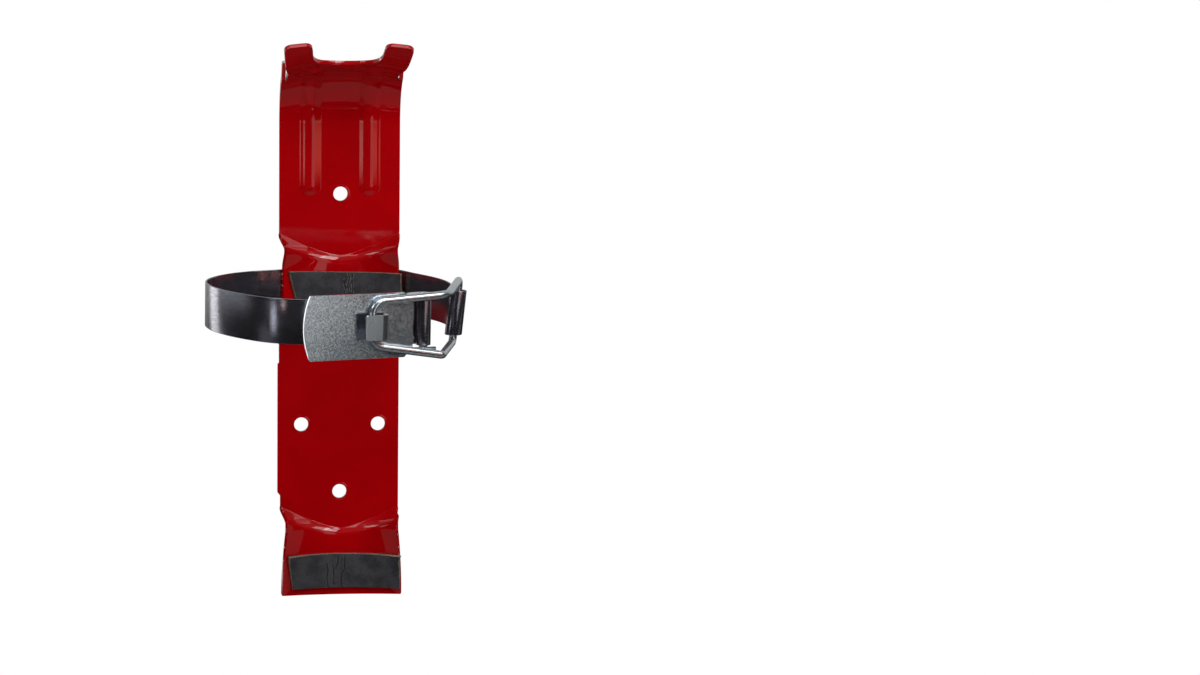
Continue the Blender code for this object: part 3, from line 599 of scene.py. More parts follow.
def lean_profile(v, bend_to_shelf=True):
    """Forward reach, height and lean angle of the sheet at developed height v."""
    runs = [(LEAN_RADIUS, LEAN_ANGLE)]
    if bend_to_shelf:
        runs.append((SHELF_BEND_RADIUS, math.pi / 2 - SHELF_RISE - LEAN_ANGLE))
        runs.append((SHELF_LENGTH, 0.0))
        runs.append((PRONG_BEND_RADIUS, SHELF_RISE - PRONG_RISE))
    else:
        runs.append((EAR_TURN_RADIUS, -EAR_TURN))
    forward, height, angle, left = 0.0, LEAN_START_Z, 0.0, v - LEAN_START_Z
    if left <= 0:
        return 0.0, v, 0.0
    for size, turn in runs:
        used = min(left, size * abs(turn) if turn else size)
        if turn:
            side = math.copysign(size, turn)
            after = angle + used / side
            forward += side * (math.cos(angle) - math.cos(after))
            height += side * (math.sin(after) - math.sin(angle))
            angle = after
        else:
            forward += used * math.sin(angle)
            height += used * math.cos(angle)
        left -= used
        if left <= 0:
            return forward, height, angle
    return forward + left * math.sin(angle), height + left * math.cos(angle), angle


SHELF_START_V = LEAN_START_Z + LEAN_RADIUS * LEAN_ANGLE
SHELF_FLAT_V = SHELF_START_V + SHELF_BEND_RADIUS * (math.pi / 2 - SHELF_RISE - LEAN_ANGLE)
PRONG_BEND_V = SHELF_FLAT_V + SHELF_LENGTH
PRONG_FLAT_V = PRONG_BEND_V + PRONG_BEND_RADIUS * (PRONG_RISE - SHELF_RISE)
PRONG_TIP_V = PRONG_FLAT_V + PRONG_LENGTH


def crease_step(share, u):
    """How far a cradle has stepped forward: a tight bend first, then a long round one, which evens
    out towards the sheet's edges."""
    share = min(1.0, max(0.0, share))
    if share < CREASE_TIGHT_SHARE:
        tight = share * share / CREASE_TIGHT_SHARE
    else:
        tight = 1 - (1 - share) ** 2 / (1 - CREASE_TIGHT_SHARE)
    even = min(1.0, abs(u) / BLANK_HALF_WIDTH) ** 6
    return tight + (ease(share) - tight) * even


def smile(u, centre_z, rise):
    """Crease line that curves from its centre height to the sheet's edges."""
    return centre_z + rise * (abs(u) / BLANK_HALF_WIDTH) ** SMILE_POWER


def crease_run(u):
    share = min(1.0, abs(u) / BLANK_HALF_WIDTH)
    return CREASE_RUN_CENTRE + (CREASE_RUN_EDGE - CREASE_RUN_CENTRE) * share


def dish(u, curvature):
    turn = curvature * u
    if abs(turn) < 1e-9:
        return 0.0, 0.0
    return (1 - math.cos(turn)) / curvature, u - math.sin(turn) / curvature


def middle_cradle(u, v):
    into = crease_step((smile(u, MIDDLE_TOP_Z, MIDDLE_TOP_SMILE) - v) / crease_run(u), u)
    out = ease((v - smile(u, MIDDLE_FOOT_Z, -MIDDLE_FOOT_SMILE)) / crease_run(u))
    tight = math.exp(-((v - MIDDLE_TOP_Z - CREASE_TIGHT_RISE) / CREASE_TIGHT_REACH) ** 2)
    rise, draw = dish(u, 1 / CRADLE_RADIUS + tight * (1 / CREASE_RADIUS - 1 / CRADLE_RADIUS))
    return into * out * (CRADLE_STANDOFF + rise), into * out * draw


def lower_cradle(u, v):
    u = u - LOWER_SHIFT
    into = crease_step((smile(u, LOWER_TOP_Z, LOWER_TOP_SMILE) - v) / crease_run(u), u)
    fade = min(1.0, max(0.0, (LOWER_TOP_Z - v) / (LOWER_TOP_Z - BLANK_BOTTOM)))
    rise, draw = dish(u, 1 / CREASE_RADIUS + fade * (1 / LOWER_EDGE_RADIUS - 1 / CREASE_RADIUS))
    return into * (CRADLE_STANDOFF + rise), into * draw


def plate_surface(u, v):
    """Middle surface of the pressed plate."""
    settings = bpy.context.scene.bracket_plate
    in_ear = abs(u) > (EAR_SLIT_INNER + EAR_SLIT_OUTER) / 2
    ear_free = in_ear and SHELF_START_V < v < SHELF_START_V + EAR_LENGTH + EAR_CLEARANCE / 2
    forward, height, angle = lean_profile(v, not ear_free)
    rise, draw = middle_cradle(u, v) if v > (MIDDLE_FOOT_Z + LOWER_TOP_Z) / 2 else lower_cradle(u, v)
    beyond = max(0.0, RIB_LOWER_END - v, v - RIB_UPPER_END)
    away = min(1.0, math.hypot(abs(u) - RIB_SPACING, beyond) / (RIB_HALF_WIDTH + RIB_FOOT))
    rib = settings.rib_height * (1 - away * away) ** 1.5
    crown = SHELF_CROWN * (1 - (u / PRONG_WAIST) ** 2) * math.sin(angle) ** 2
    out = settings.thickness / 2 + rise + rib - crown
    return Vector((u - draw, -forward - out * math.cos(angle), height - out * math.sin(angle)))


def plate_outline():
    """Developed outline, counter-clockwise from the lower left corner."""
    w = BLANK_HALF_WIDTH
    slot_foot = PRONG_TIP_V - NECK_SLOT_DEPTH
    ear_top = SHELF_START_V + EAR_LENGTH
    fork = [(w, ear_top, 0.0009),
            (EAR_SLIT_OUTER, ear_top, 0.0006),
            (EAR_SLIT_OUTER, SHELF_START_V, 0),
            (EAR_SLIT_INNER, SHELF_START_V, 0),
            (EAR_SLIT_INNER, ear_top + EAR_CLEARANCE, 0.002),
            (PRONG_FLARE, PRONG_FLARE_V, PRONG_FLARE_BLEND),
            (PRONG_TIP_OUTER, PRONG_TIP_V, PRONG_TIP_CORNER),
            (PRONG_TIP_INNER, PRONG_TIP_V, PRONG_INNER_CORNER),
            (NECK_SLOT_RADIUS, slot_foot + NECK_SLOT_RADIUS, 0),
            (NECK_SLOT_RADIUS, slot_foot, NECK_SLOT_RADIUS - 1e-5)]
    foot_left = -w + LEFT_STEP_IN - LEFT_STEP_OUT
    right = [(foot_left + BOTTOM_LEFT_DRIFT, BLANK_BOTTOM, BLANK_CORNER),
             (w + RIGHT_STEP_OUT + BOTTOM_RIGHT_DRIFT, BLANK_BOTTOM, BLANK_CORNER),
             (w + RIGHT_STEP_OUT, RIGHT_STEP_OUT_Z, 0.0005),
             (w, RIGHT_STEP_OUT_Z + STEP_RUN / 3, 0)]
    left = [(-w, LEFT_STEP_OUT_Z, 0),
            (-w - LEFT_STEP_OUT, LEFT_STEP_OUT_Z - STEP_RUN / 3, 0),
            (-w - LEFT_STEP_OUT, LEFT_STEP_IN_Z, 0.0006),
            (foot_left, LEFT_STEP_IN_Z - STEP_RUN, 0.0006)]
    mirrored = [(-x, y, radius) for x, y, radius in reversed(fork)]
    corners = [(Vector((x, y)), radius) for x, y, radius in right + fork + mirrored + left]
    return rounded_path(corners, True, math.radians(8))


def plate_rows():
    """Heights at which the blank is scored, close together where it bends."""
    lower_foot, lower_head = LOWER_TOP_Z - CREASE_RUN_CENTRE, LOWER_TOP_Z + LOWER_TOP_SMILE
    foot_low, foot_high = MIDDLE_FOOT_Z - MIDDLE_FOOT_SMILE, MIDDLE_FOOT_Z + CREASE_RUN_CENTRE
    middle_foot, middle_head = MIDDLE_TOP_Z - CREASE_RUN_CENTRE, MIDDLE_TOP_Z + MIDDLE_TOP_SMILE
    runs = ((BLANK_BOTTOM, lower_foot, CRADLE_ROW), (lower_foot, lower_head, CREASE_ROW),
            (lower_head, foot_low, FLAT_ROW), (foot_low, foot_high, FOOT_ROW),
            (foot_high, middle_foot, CRADLE_ROW), (middle_foot, middle_head, CREASE_ROW),
            (middle_head, LEAN_START_Z, UPPER_FLAT_ROW),
            (RIB_LOWER_END - RIB_HALF_WIDTH - RIB_FOOT, RIB_LOWER_END, FOOT_ROW),
            (LEAN_START_Z, SHELF_START_V, LEAN_ROW), (SHELF_START_V, SHELF_FLAT_V, BEND_ROW),
            (SHELF_FLAT_V, PRONG_BEND_V, LEAN_ROW), (PRONG_BEND_V, PRONG_TIP_V, PRONG_ROW))
    rows = {round(row, 7) for start, end, step in runs for row in spread(start, end, step)}
    return [row for row in sorted(rows) if BLANK_BOTTOM + 1e-6 < row < PRONG_TIP_V - 1e-6]


class BRACKET_OT_plate(bpy.types.Operator):
    """Build the stamped and enamelled plate"""

    bl_idname = "bracket.plate"
    bl_label = "Plate"

    def execute(self, context):
        settings = context.scene.bracket_plate
        holes = [circle(x, z, HOLE_DIAMETER / 2, 48) for x, z in HOLES]
        blank = flat_blank(plate_outline(), holes, settings.thickness, settings.rim)
        cut_across(blank, 1, plate_rows())
        cut_across(blank, 0, [k * BLANK_HALF_WIDTH / PLATE_COLUMNS
                              for k in range(1 - PLATE_COLUMNS, PLATE_COLUMNS)])
        reach = RIB_HALF_WIDTH + RIB_FOOT
        for side in (-1, 1):
            places = [side * (RIB_SPACING + reach * k / RIB_COLUMNS)
                      for k in range(-RIB_COLUMNS, RIB_COLUMNS + 1)]
            cut_across(blank, 0, places, keep=lambda p: RIB_LOWER_END - reach < p.y
                       < RIB_UPPER_END + reach)

        def cut_edge(u, v, w):
            return float(v < LEAN_START_Z and on_cut_edge(w, settings.thickness))

        def bare_edge(u, v, w):
            in_slit = SHELF_START_V - 0.001 < v < SHELF_START_V + EAR_LENGTH + 0.004
            at_left = u < -EAR_SLIT_INNER + 0.0012
            return float(in_slit and at_left and on_cut_edge(w, settings.thickness))

        mesh = formed_mesh("enamelled_plate", blank, plate_surface, 0.0, settings.thickness,
                           {"cut_edge": cut_edge, "bare_edge": bare_edge})
        finished("enamelled_plate", mesh, enamel_material(settings), "frame", "back_plate")
        return {"FINISHED"}


# Pads

def pad_outline(left, left_lift, right, barb, top, foot_left, foot_right):
    """Hand-cut outline, with a slightly ragged edge."""
    foot = top - PAD_HEIGHT
    corners = [(foot_left, foot), (foot_right, foot), (right - barb, top - PAD_BARB_DROP),
               (right, top), (0.0, top), (left, top + left_lift)]
    outline = []
    for i, corner in enumerate(corners):
        start, end = Vector(corner), Vector(corners[(i + 1) % len(corners)])
        side = (end - start).normalized()
        out = Vector((side.y, -side.x))
        steps = max(1, round((end - start).length / 0.0007))
        for k in range(steps):
            point = start.lerp(end, k / steps)
            rag = noise.noise(Vector((point.x, point.y, 0.4)) * 700) * PAD_RAG if k else 0.0
            outline.append(point + out * (rag - PAD_RAG))
    return outline


def crack_distance(u, v, cracks, top):
    """Distance from a place on a pad to the nearest of its cracks."""
    place = Vector((u + 0.00025 * noise.noise(Vector((u * 900, v * 900, 3.0))), v))
    nearest = 1.0
    for crack in cracks:
        for start, end in zip(crack, crack[1:]):
            a, b = Vector((start[0], top + start[1])), Vector((end[0], top + end[1]))
            share = min(1.0, max(0.0, (place - a).dot(b - a) / (b - a).length_squared))
            nearest = min(nearest, (place - a.lerp(b, share)).length)
    return nearest


class BRACKET_OT_pads(bpy.types.Operator):
    """Build the two foam pads"""

    bl_idname = "bracket.pads"
    bl_label = "Foam pads"

    def execute(self, context):
        settings = context.scene.bracket_pads
        thickness = settings.thickness
        material = foam_material(settings)
        seat = context.scene.bracket_plate.thickness / 2 + PAD_GAP + thickness / 2
        for name, node, sizes, cracks, pale in (
                ("middle_foam_pad", "middle_pad", MIDDLE_PAD, MIDDLE_CRACKS, 1.0),
                ("lower_foam_pad", "lower_pad", LOWER_PAD, LOWER_CRACKS, 0.12)):
            top = sizes["top"]
            blank = flat_blank(pad_outline(**sizes), [], thickness, PAD_EDGE_ROUNDING)
            cut_across(blank, 0, spread(-0.027, 0.032, 0.0009))
            cut_across(blank, 0, spread(-0.0072, 0.0078, 0.00025),
                       keep=lambda p: -0.0075 < p.x < 0.0080)
            cut_across(blank, 1, spread(top - PAD_HEIGHT, top, 0.0006)[1:-1])

            def crack(u, v, w):
                return math.exp(-(crack_distance(u, v, cracks, top) / CRACK_WIDTH) ** 2) * (w > 0)

            def crack_lip(u, v, w):
                away = crack_distance(u, v, cracks, top)
                return pale * math.exp(-((away - 2.0 * CRACK_WIDTH) / (1.1 * CRACK_WIDTH)) ** 2) * (w > 0)

            def relief(u, v, w):
                if w <= 0:
                    return 0.0
                swell = PAD_SWELL * noise.noise(Vector((u, v, 7.0)) * 160)
                wrinkle = PAD_WRINKLE * math.exp(-((u - 0.001) / 0.008) ** 2) * noise.noise(
                    Vector((u * 900, v * 160, 2.0)))
                return (swell + wrinkle - PAD_SINK + CRACK_LIP_RISE * crack_lip(u, v, w)
                        - CRACK_DEPTH * crack(u, v, w))

            def cut_edge(u, v, w):
                return float(on_cut_edge(w, thickness))

            mesh = formed_mesh(name, blank, plate_surface, seat, thickness,
                               {"crack": crack, "crack_lip": crack_lip, "cut_edge": cut_edge}, relief)
            pad = finished(name, mesh, material, "frame", node)
        return {"FINISHED"}


# Band

def eye_arc(centre, radius, start_angle, sweep):
    steps = max(1, round(abs(sweep) / math.radians(7)))
    angles = [start_angle + sweep * k / steps for k in range(steps + 1)]
    return [centre + Vector((math.cos(a), math.sin(a))) * radius for a in angles]


def band_route(settings):
    """Plan route of the band's middle line, from the tail of the pin eye to that of the bail eye."""
    plate = bpy.context.scene.bracket_plate
    pin = Vector((PIN_X, PIN_Y))
    hinge = Vector((BAIL_AXIS_X, BAIL_AXIS_Y))
    leave_pin = pin + Vector((-math.sin(BAND_FRONT_ANGLE), math.cos(BAND_FRONT_ANGLE))) * PIN_EYE_RADIUS
    reach_hinge = hinge + Vector((-math.cos(BAND_SIDE_ANGLE), math.sin(BAND_SIDE_ANGLE))) * BAIL_EYE_RADIUS
    behind = CRADLE_RADIUS + plate.thickness / 2 + BAND_GAP + settings.thickness / 2
    centre_y = -(plate.thickness / 2 + CRADLE_STANDOFF + CRADLE_RADIUS)
    half = math.asin((BLANK_HALF_WIDTH - BAND_SIDE_INSET) / behind)
    back = [Vector((behind * math.sin(a), centre_y + behind * math.cos(a)))
            for a in spread(-half, half, half / 4)]
    loop = [leave_pin, *map(Vector, BAND_LEFT_SIDE), *back, *map(Vector, BAND_RIGHT_SIDE), reach_hinge]
    pin_eye = eye_arc(pin, PIN_EYE_RADIUS, math.pi / 2 + BAND_FRONT_ANGLE - EYE_SWEEP, EYE_SWEEP)
    bail_eye = eye_arc(hinge, BAIL_EYE_RADIUS, math.pi - BAND_SIDE_ANGLE, EYE_SWEEP)
    return pin_eye[:-1] + smooth_path(loop, 0.0014) + bail_eye[1:]


def sweep_tree(name, inputs, build_profile):
    """Geometry Nodes tree that sweeps a profile along a curve and gives it its material.
    inputs is a list of (socket type, name, default)."""
    tree = bpy.data.node_groups.new(name, "GeometryNodeTree")
    tree.interface.new_socket("Geometry", in_out="INPUT", socket_type="NodeSocketGeometry")
    tree.interface.new_socket("Geometry", in_out="OUTPUT", socket_type="NodeSocketGeometry")
    sockets = {}
    for kind, label, default in inputs:
        socket = tree.interface.new_socket(label, in_out="INPUT", socket_type=kind)
        if default is not None:
            socket.default_value = default
        sockets[label] = socket.identifier
    source = tree.nodes.new("NodeGroupInput")
    result = tree.nodes.new("NodeGroupOutput")
    sweep = tree.nodes.new("GeometryNodeCurveToMesh")
    realize = tree.nodes.new("GeometryNodeRealizeInstances")
    paint = tree.nodes.new("GeometryNodeSetMaterial")
    link = tree.links.new
    link(source.outputs["Geometry"], sweep.inputs["Curve"])
    link(build_profile(tree, source), sweep.inputs["Profile Curve"])
    sweep.inputs["Fill Caps"].default_value = True
    link(sweep.outputs["Mesh"], realize.inputs["Geometry"])
    link(realize.outputs["Geometry"], paint.inputs["Geometry"])
    link(source.outputs["Material"], paint.inputs["Material"])
    link(paint.outputs["Geometry"], result.inputs["Geometry"])
    return tree, sockets


def swept_mesh(name, route, tree, sockets, values):
    """Mesh made by a sweep tree along a route of points."""
    curve = bpy.data.curves.new(name, "CURVE")
    curve.dimensions = "3D"
    spline = curve.splines.new("POLY")
    spline.points.add(len(route) - 1)
    for point, place in zip(spline.points, route):
        point.co = (*place, 1)
    guide = bpy.data.objects.new(name + "_guide", curve)
    bpy.context.scene.collection.objects.link(guide)
    modifier = guide.modifiers.new("sweep", "NODES")
    modifier.node_group = tree
    for label, value in values.items():
        modifier[sockets[label]] = value
    mesh = bpy.data.meshes.new_from_object(guide.evaluated_get(bpy.context.evaluated_depsgraph_get()))
    bpy.data.objects.remove(guide)
    mesh.name = name
    return mesh


def band_profile(tree, source):
    """Rectangle with rounded corners, as thick and high as the band."""
    shape = tree.nodes.new("GeometryNodeCurvePrimitiveQuadrilateral")
    rounding = tree.nodes.new("GeometryNodeFilletCurve")
    rounding.mode = "POLY"
    rounding.inputs["Count"].default_value = 3
    tree.links.new(source.outputs["Thickness"], shape.inputs["Width"])
    tree.links.new(source.outputs["Height"], shape.inputs["Height"])
    tree.links.new(source.outputs["Edge rounding"], rounding.inputs["Radius"])
    tree.links.new(shape.outputs["Curve"], rounding.inputs["Curve"])
    return rounding.outputs["Curve"]


def join_and_face_out(mesh):
    shell = bmesh.new()
    shell.from_mesh(mesh)
    bmesh.ops.remove_doubles(shell, verts=shell.verts, dist=1e-7)
    bmesh.ops.recalc_face_normals(shell, faces=shell.faces)
    shell.to_mesh(mesh)
    shell.free()


class BRACKET_OT_band(bpy.types.Operator):
    """Build the sprung steel band with its two rolled eyes"""

    bl_idname = "bracket.band"
    bl_label = "Band"

    def execute(self, context):
        settings = context.scene.bracket_band
        route = band_route(settings)
        material = spring_steel_material(settings)
        tree, sockets = sweep_tree("Band sweep", [
            ("NodeSocketFloat", "Thickness", settings.thickness),
            ("NodeSocketFloat", "Height", settings.height),
            ("NodeSocketFloat", "Edge rounding", BAND_EDGE_ROUNDING),
            ("NodeSocketMaterial", "Material", None)], band_profile)
        mesh = swept_mesh("spring_band", [(p.x, p.y, 0) for p in route], tree, sockets, {
            "Thickness": settings.thickness, "Height": settings.height, "Edge rounding": BAND_EDGE_ROUNDING,
            "Material": material})
        hinge = Vector((BAIL_AXIS_X, BAIL_AXIS_Y))
        lean = math.tan(BAIL_EYE_LEAN)
        for vert in mesh.vertices:
            away = (vert.co.xy - hinge).length
            vert.co.x += vert.co.z * lean * (1 - ease((away - LEAN_FADE_START) / LEAN_FADE_RUN))
        mesh.transform(latch_matrix())
        join_and_face_out(mesh)
        smooth_by_angle(mesh, 50)
        finished("spring_band", mesh, material, "frame", "strap")
        return {"FINISHED"}


# Latch

def tab_profile(run):
    """Place along the lever and height over its middle plane, at a distance from the tab's root."""
    along, lift, angle = TAB_ROOT_S, 0.0, 0.0
    for size, turn in ((TAB_ROOT_RADIUS, TAB_ROOT_ANGLE), (TAB_RISE, 0.0),
                       (TAB_CROWN_RADIUS, -(TAB_ROOT_ANGLE + TAB_TIP_ANGLE))):
        used = max(0.0, min(run, size * abs(turn) if turn else size))
        if turn:
            side = math.copysign(size, turn)
            after = angle + used / side
            along += side * (math.sin(after) - math.sin(angle))
            lift += side * (math.cos(angle) - math.cos(after))
            angle = after
        else:
            along += used * math.cos(angle)
            lift += used * math.sin(angle)
        run -= used
    return along + run * math.cos(angle), lift + run * math.sin(angle)


def lever_surface(s, q):
    """Middle surface of the lever: x along -s, z up, y towards the wall."""
    thickness = bpy.context.scene.bracket_latch.thickness
    middle = LEVER_FRONT - thickness / 2
    bend_middle = EAR_BEND_RADIUS - thickness / 2
    bend_q = EAR_HALF_SPACING - EAR_BEND_RADIUS
    if abs(q) > bend_q and s < EAR_ROOT_S:
        over = abs(q) - bend_q
        turn = min(math.pi / 2, over / bend_middle)
        rest = over - turn * bend_middle
        up = bend_q + bend_middle * math.sin(turn) + rest * math.cos(turn)
        back = bend_middle * (1 - math.cos(turn)) + rest * math.sin(turn)
        return Vector((-s, back - middle, math.copysign(up, q)))
    if abs(q) < TAB_HALF_WIDTH + TAB_SLIT / 2 and TAB_ROOT_S < s < TAB_ROOT_S + TAB_LENGTH + TAB_SLIT / 2:
        along, lift = tab_profile((s - TAB_ROOT_S) * TAB_DRAW)
        return Vector((-along, -middle - lift, q))
    return Vector((-s, -middle, q))


def ear_developed(n, thickness):
    """Developed height in the blank of a point of the ear at distance n in front of the pin axis."""
    bend_middle = EAR_BEND_RADIUS - thickness / 2
    flat_start = EAR_HALF_SPACING - EAR_BEND_RADIUS + bend_middle * math.pi / 2
    return flat_start + (LEVER_FRONT - EAR_BEND_RADIUS - n)


def lever_outline(thickness):
    h = LEVER_HALF_HEIGHT
    end_radius = (h ** 2 + LEVER_END_SAGITTA ** 2) / (2 * LEVER_END_SAGITTA)
    end_centre = LEVER_CORNER_S + LEVER_END_SAGITTA - end_radius
    half = math.asin(h / end_radius)
    end = [(end_centre + end_radius * math.cos(a), end_radius * math.sin(a), 0)
           for a in spread(-half, half, math.radians(1.5))[1:-1]]
    tip = ear_developed(-EAR_BACK, thickness)
    bend_q = EAR_HALF_SPACING - EAR_BEND_RADIUS
    relief_s = EAR_ROOT_S - EAR_RELIEF
    ear = [(LEVER_CORNER_S, h, 0.0007), (EAR_ROOT_S, h, 0.0010), (EAR_ROOT_S, bend_q, 0),
           (relief_s, bend_q, 0), (relief_s, tip - EAR_HALF_WIDTH, 0.0020),
           (EAR_HALF_WIDTH, tip, EAR_HALF_WIDTH * 0.5), (-EAR_HALF_WIDTH, tip, EAR_HALF_WIDTH * 0.95),
           (-EAR_HALF_WIDTH, WINDOW_HALF_HEIGHT, 0), (WINDOW_S, WINDOW_HALF_HEIGHT, 0.0008)]
    foot = [(s, -q, radius) for s, q, radius in reversed(ear)]
    return rounded_path([(Vector((s, q)), radius) for s, q, radius in end + ear + foot], True,
                        math.radians(9))


def tab_slot():
    """C-shaped cut that frees the tab on three sides."""
    inner = TAB_HALF_WIDTH
    outer = TAB_HALF_WIDTH + TAB_SLIT
    tip = TAB_ROOT_S + TAB_LENGTH
    corners = [(TAB_ROOT_S, outer, 0), (TAB_SLOT_END_S, outer, 0.0006),
               (TAB_SLOT_END_S, -outer, 0.0006), (TAB_ROOT_S, -outer, 0), (TAB_ROOT_S, -inner, 0),
               (tip, -inner, 0.0010), (tip, inner, 0.0010), (TAB_ROOT_S, inner, 0)]
    return rounded_path([(Vector((s, q)), r) for s, q, r in corners], True, math.radians(15))


class BRACKET_OT_lever(bpy.types.Operator):
    """Build the stamped latch lever with its lanced tab and bent ears"""

    bl_idname = "bracket.lever"
    bl_label = "Latch lever"

    def execute(self, context):
        settings = context.scene.bracket_latch
        thickness = settings.thickness
        holes = [tab_slot()]
        for side in (-1, 1):
            holes.append(circle(0.0, side * ear_developed(0.0, thickness), PIN_RADIUS + PIN_GAP, 36))
        blank = flat_blank(lever_outline(thickness), holes, thickness, LEVER_EDGE_ROUNDING)
        bend_middle = EAR_BEND_RADIUS - thickness / 2
        bend_q = EAR_HALF_SPACING - EAR_BEND_RADIUS
        for side in (-1, 1):
            cut_across(blank, 1, [side * (bend_q + bend_middle * math.pi / 2 * k / 8)
                                  for k in range(9)])
        cut_across(blank, 0, [EAR_ROOT_S, TAB_ROOT_S])
        cut_across(blank, 0, spread(TAB_ROOT_S, TAB_ROOT_S + TAB_LENGTH, 0.0003)[1:-1],
                   keep=lambda p: abs(p.y) < TAB_HALF_WIDTH + TAB_SLIT / 2
                   and TAB_ROOT_S < p.x < TAB_SLOT_END_S)

        # Cut edges, which the zinc finish lightens as a painted highlight
        def cut_edge(s, q, w):
            return float(on_cut_edge(w, thickness))

        # Front of the tab's crown, which the zinc finish darkens as painted shade
        def tab(s, q, w):
            on_front = w < 0 and not on_cut_edge(w, thickness)
            return float(on_front and abs(q) < TAB_HALF_WIDTH + TAB_SLIT / 2
                         and TAB_ROOT_S + 0.006 < s < TAB_ROOT_S + TAB_LENGTH - 0.0002)

        mesh = formed_mesh("zinc_lever", blank, lever_surface, 0.0, thickness,
                           {"cut_edge": cut_edge, "tab": tab})
        mesh.transform(lever_matrix())
        finished("zinc_lever", mesh, zinc_material(settings, "zinc_plate"), "lever", "latch_lever")
        return {"FINISHED"}


class BRACKET_OT_pin(bpy.types.Operator):
    """Build the lever's pin"""

    bl_idname = "bracket.pin"
    bl_label = "Lever pin"

    def execute(self, context):
        pin = bmesh.new()
        bmesh.ops.create_cone(pin, cap_ends=True, segments=48, radius1=PIN_RADIUS,
                              radius2=PIN_RADIUS, depth=2 * EAR_HALF_SPACING)
        rims = [e for e in pin.edges if abs(e.verts[0].co.z - e.verts[1].co.z) < 1e-6]
        bmesh.ops.bevel(pin, geom=rims, offset=PIN_CHAMFER, segments=3, profile=0.5, affect="EDGES")
        mesh = bpy.data.meshes.new("steel_pin")
        pin.to_mesh(mesh)
        pin.free()
        smooth_by_angle(mesh, 40)
        mesh.transform(lever_matrix())
        finished("steel_pin", mesh, zinc_material(context.scene.bracket_latch, "zinc_pin"), "lever",
                 "lever_pin")
        return {"FINISHED"}


def lever_point(s, n, q):
    along = Vector((-math.cos(LEVER_ANGLE), -math.sin(LEVER_ANGLE), 0))
    out = Vector((math.sin(LEVER_ANGLE), -math.cos(LEVER_ANGLE), 0))
    return Vector((PIN_X, PIN_Y, 0)) + along * s + out * n + Vector((0, 0, q))


def bail_axis_point(q):
    return Vector((BAIL_AXIS_X + q * math.tan(BAIL_EYE_LEAN), BAIL_AXIS_Y, q))


def wire_profile(tree, source):
    shape = tree.nodes.new("GeometryNodeCurvePrimitiveCircle")
    shape.inputs["Resolution"].default_value = 32
    tree.links.new(source.outputs["Wire radius"], shape.inputs["Radius"])
    return shape.outputs["Curve"]


class BRACKET_OT_bail(bpy.types.Operator):
    """Build the wire bail"""

    bl_idname = "bracket.bail"
    bl_label = "Bail"

    def execute(self, context):
        settings = context.scene.bracket_latch
        out = LEVER_FRONT + BAIL_LIFT + settings.wire_radius
        corners = [(bail_axis_point(WIRE_BUTT_GAP / 2), 0),
                   (bail_axis_point(SHANK_TOP), SHANK_TOP_BEND),
                   (lever_point(KNEE_TOP_S, out, KNEE_TOP), KNEE_TOP_BEND),
                   (lever_point(HOOK_TOP_S, out, HOOK_TOP), HOOK_TOP_BEND),
                   (lever_point(HOOK_FOOT_S, out, HOOK_FOOT), HOOK_FOOT_BEND),
                   (lever_point(KNEE_FOOT_S, out, KNEE_FOOT), KNEE_FOOT_BEND),
                   (bail_axis_point(SHANK_FOOT), SHANK_FOOT_BEND),
                   (bail_axis_point(-WIRE_BUTT_GAP / 2), 0)]
        route = rounded_path(corners, False, math.radians(5))
        material = zinc_material(settings, "zinc_wire")
        tree, sockets = sweep_tree("Wire sweep", [("NodeSocketFloat", "Wire radius", 0.002),
                                                  ("NodeSocketMaterial", "Material", None)],
                                   wire_profile)
        mesh = swept_mesh("bail_wire", route, tree, sockets,
                          {"Wire radius": settings.wire_radius, "Material": material})
        mesh.transform(latch_matrix())
        join_and_face_out(mesh)
        smooth_by_angle(mesh, 60)
        finished("bail_wire", mesh, material, "bail", "bail")
        return {"FINISHED"}


# Finishes

def enamel_material(settings):
    """Baked enamel over steel: even red with faint mottling, a burr round the punched holes, and
    chips to bare metal on the cut edges."""
    material = bpy.data.materials.new("red_enamel")
    n = Nodes(material)
    where = n.place()
    x, z = n.across(where, 0), n.across(where, 2)
    mottle = n.noise(where, 60.0, 3.0)
    colour = n.mix(n.step(mottle, 0.3, 0.7), tuple(settings.colour),
                   tuple(0.90 * c for c in settings.colour))
    burr = None
    for hole_x, hole_z in HOLES:
        away = n.add("ShaderNodeMath", {"operation": "POWER"},
                     {0: (x - hole_x) * (x - hole_x) + (z - hole_z) * (z - hole_z), 1: 0.5})
        lip = n.step(away, HOLE_DIAMETER / 2 + 0.0004, HOLE_DIAMETER / 2 + 0.0013, 1.0, 0.0)
        burr = lip if burr is None else burr.math("MAXIMUM", lip)
    rough_grain = n.noise(where, 900.0, 2.0)
    chip = n.attribute("cut_edge") * n.step(n.noise(where, 420.0, 3.0), 0.635, 0.655)
    bare = chip.math("MAXIMUM", n.attribute("bare_edge") * n.step(rough_grain, 0.30, 0.42))
    colour = n.mix(bare, colour, BARE_STEEL)
    peel = n.bump(n.noise(where, 420.0, 1.0), 0.00002, 0.35)
    relief = n.add("ShaderNodeBump", {}, {"Height": burr, "Distance": 0.00022, "Strength": 0.8,
                                          "Normal": peel})
    n.principled({"Base Color": colour, "Metallic": bare * 0.7, "Roughness": 0.42,
                  "Specular IOR Level": 0.0, "Coat Weight": 1.0 - bare, "Coat Roughness": 0.045,
                  "Coat Normal": relief, "Normal": relief})
    return material


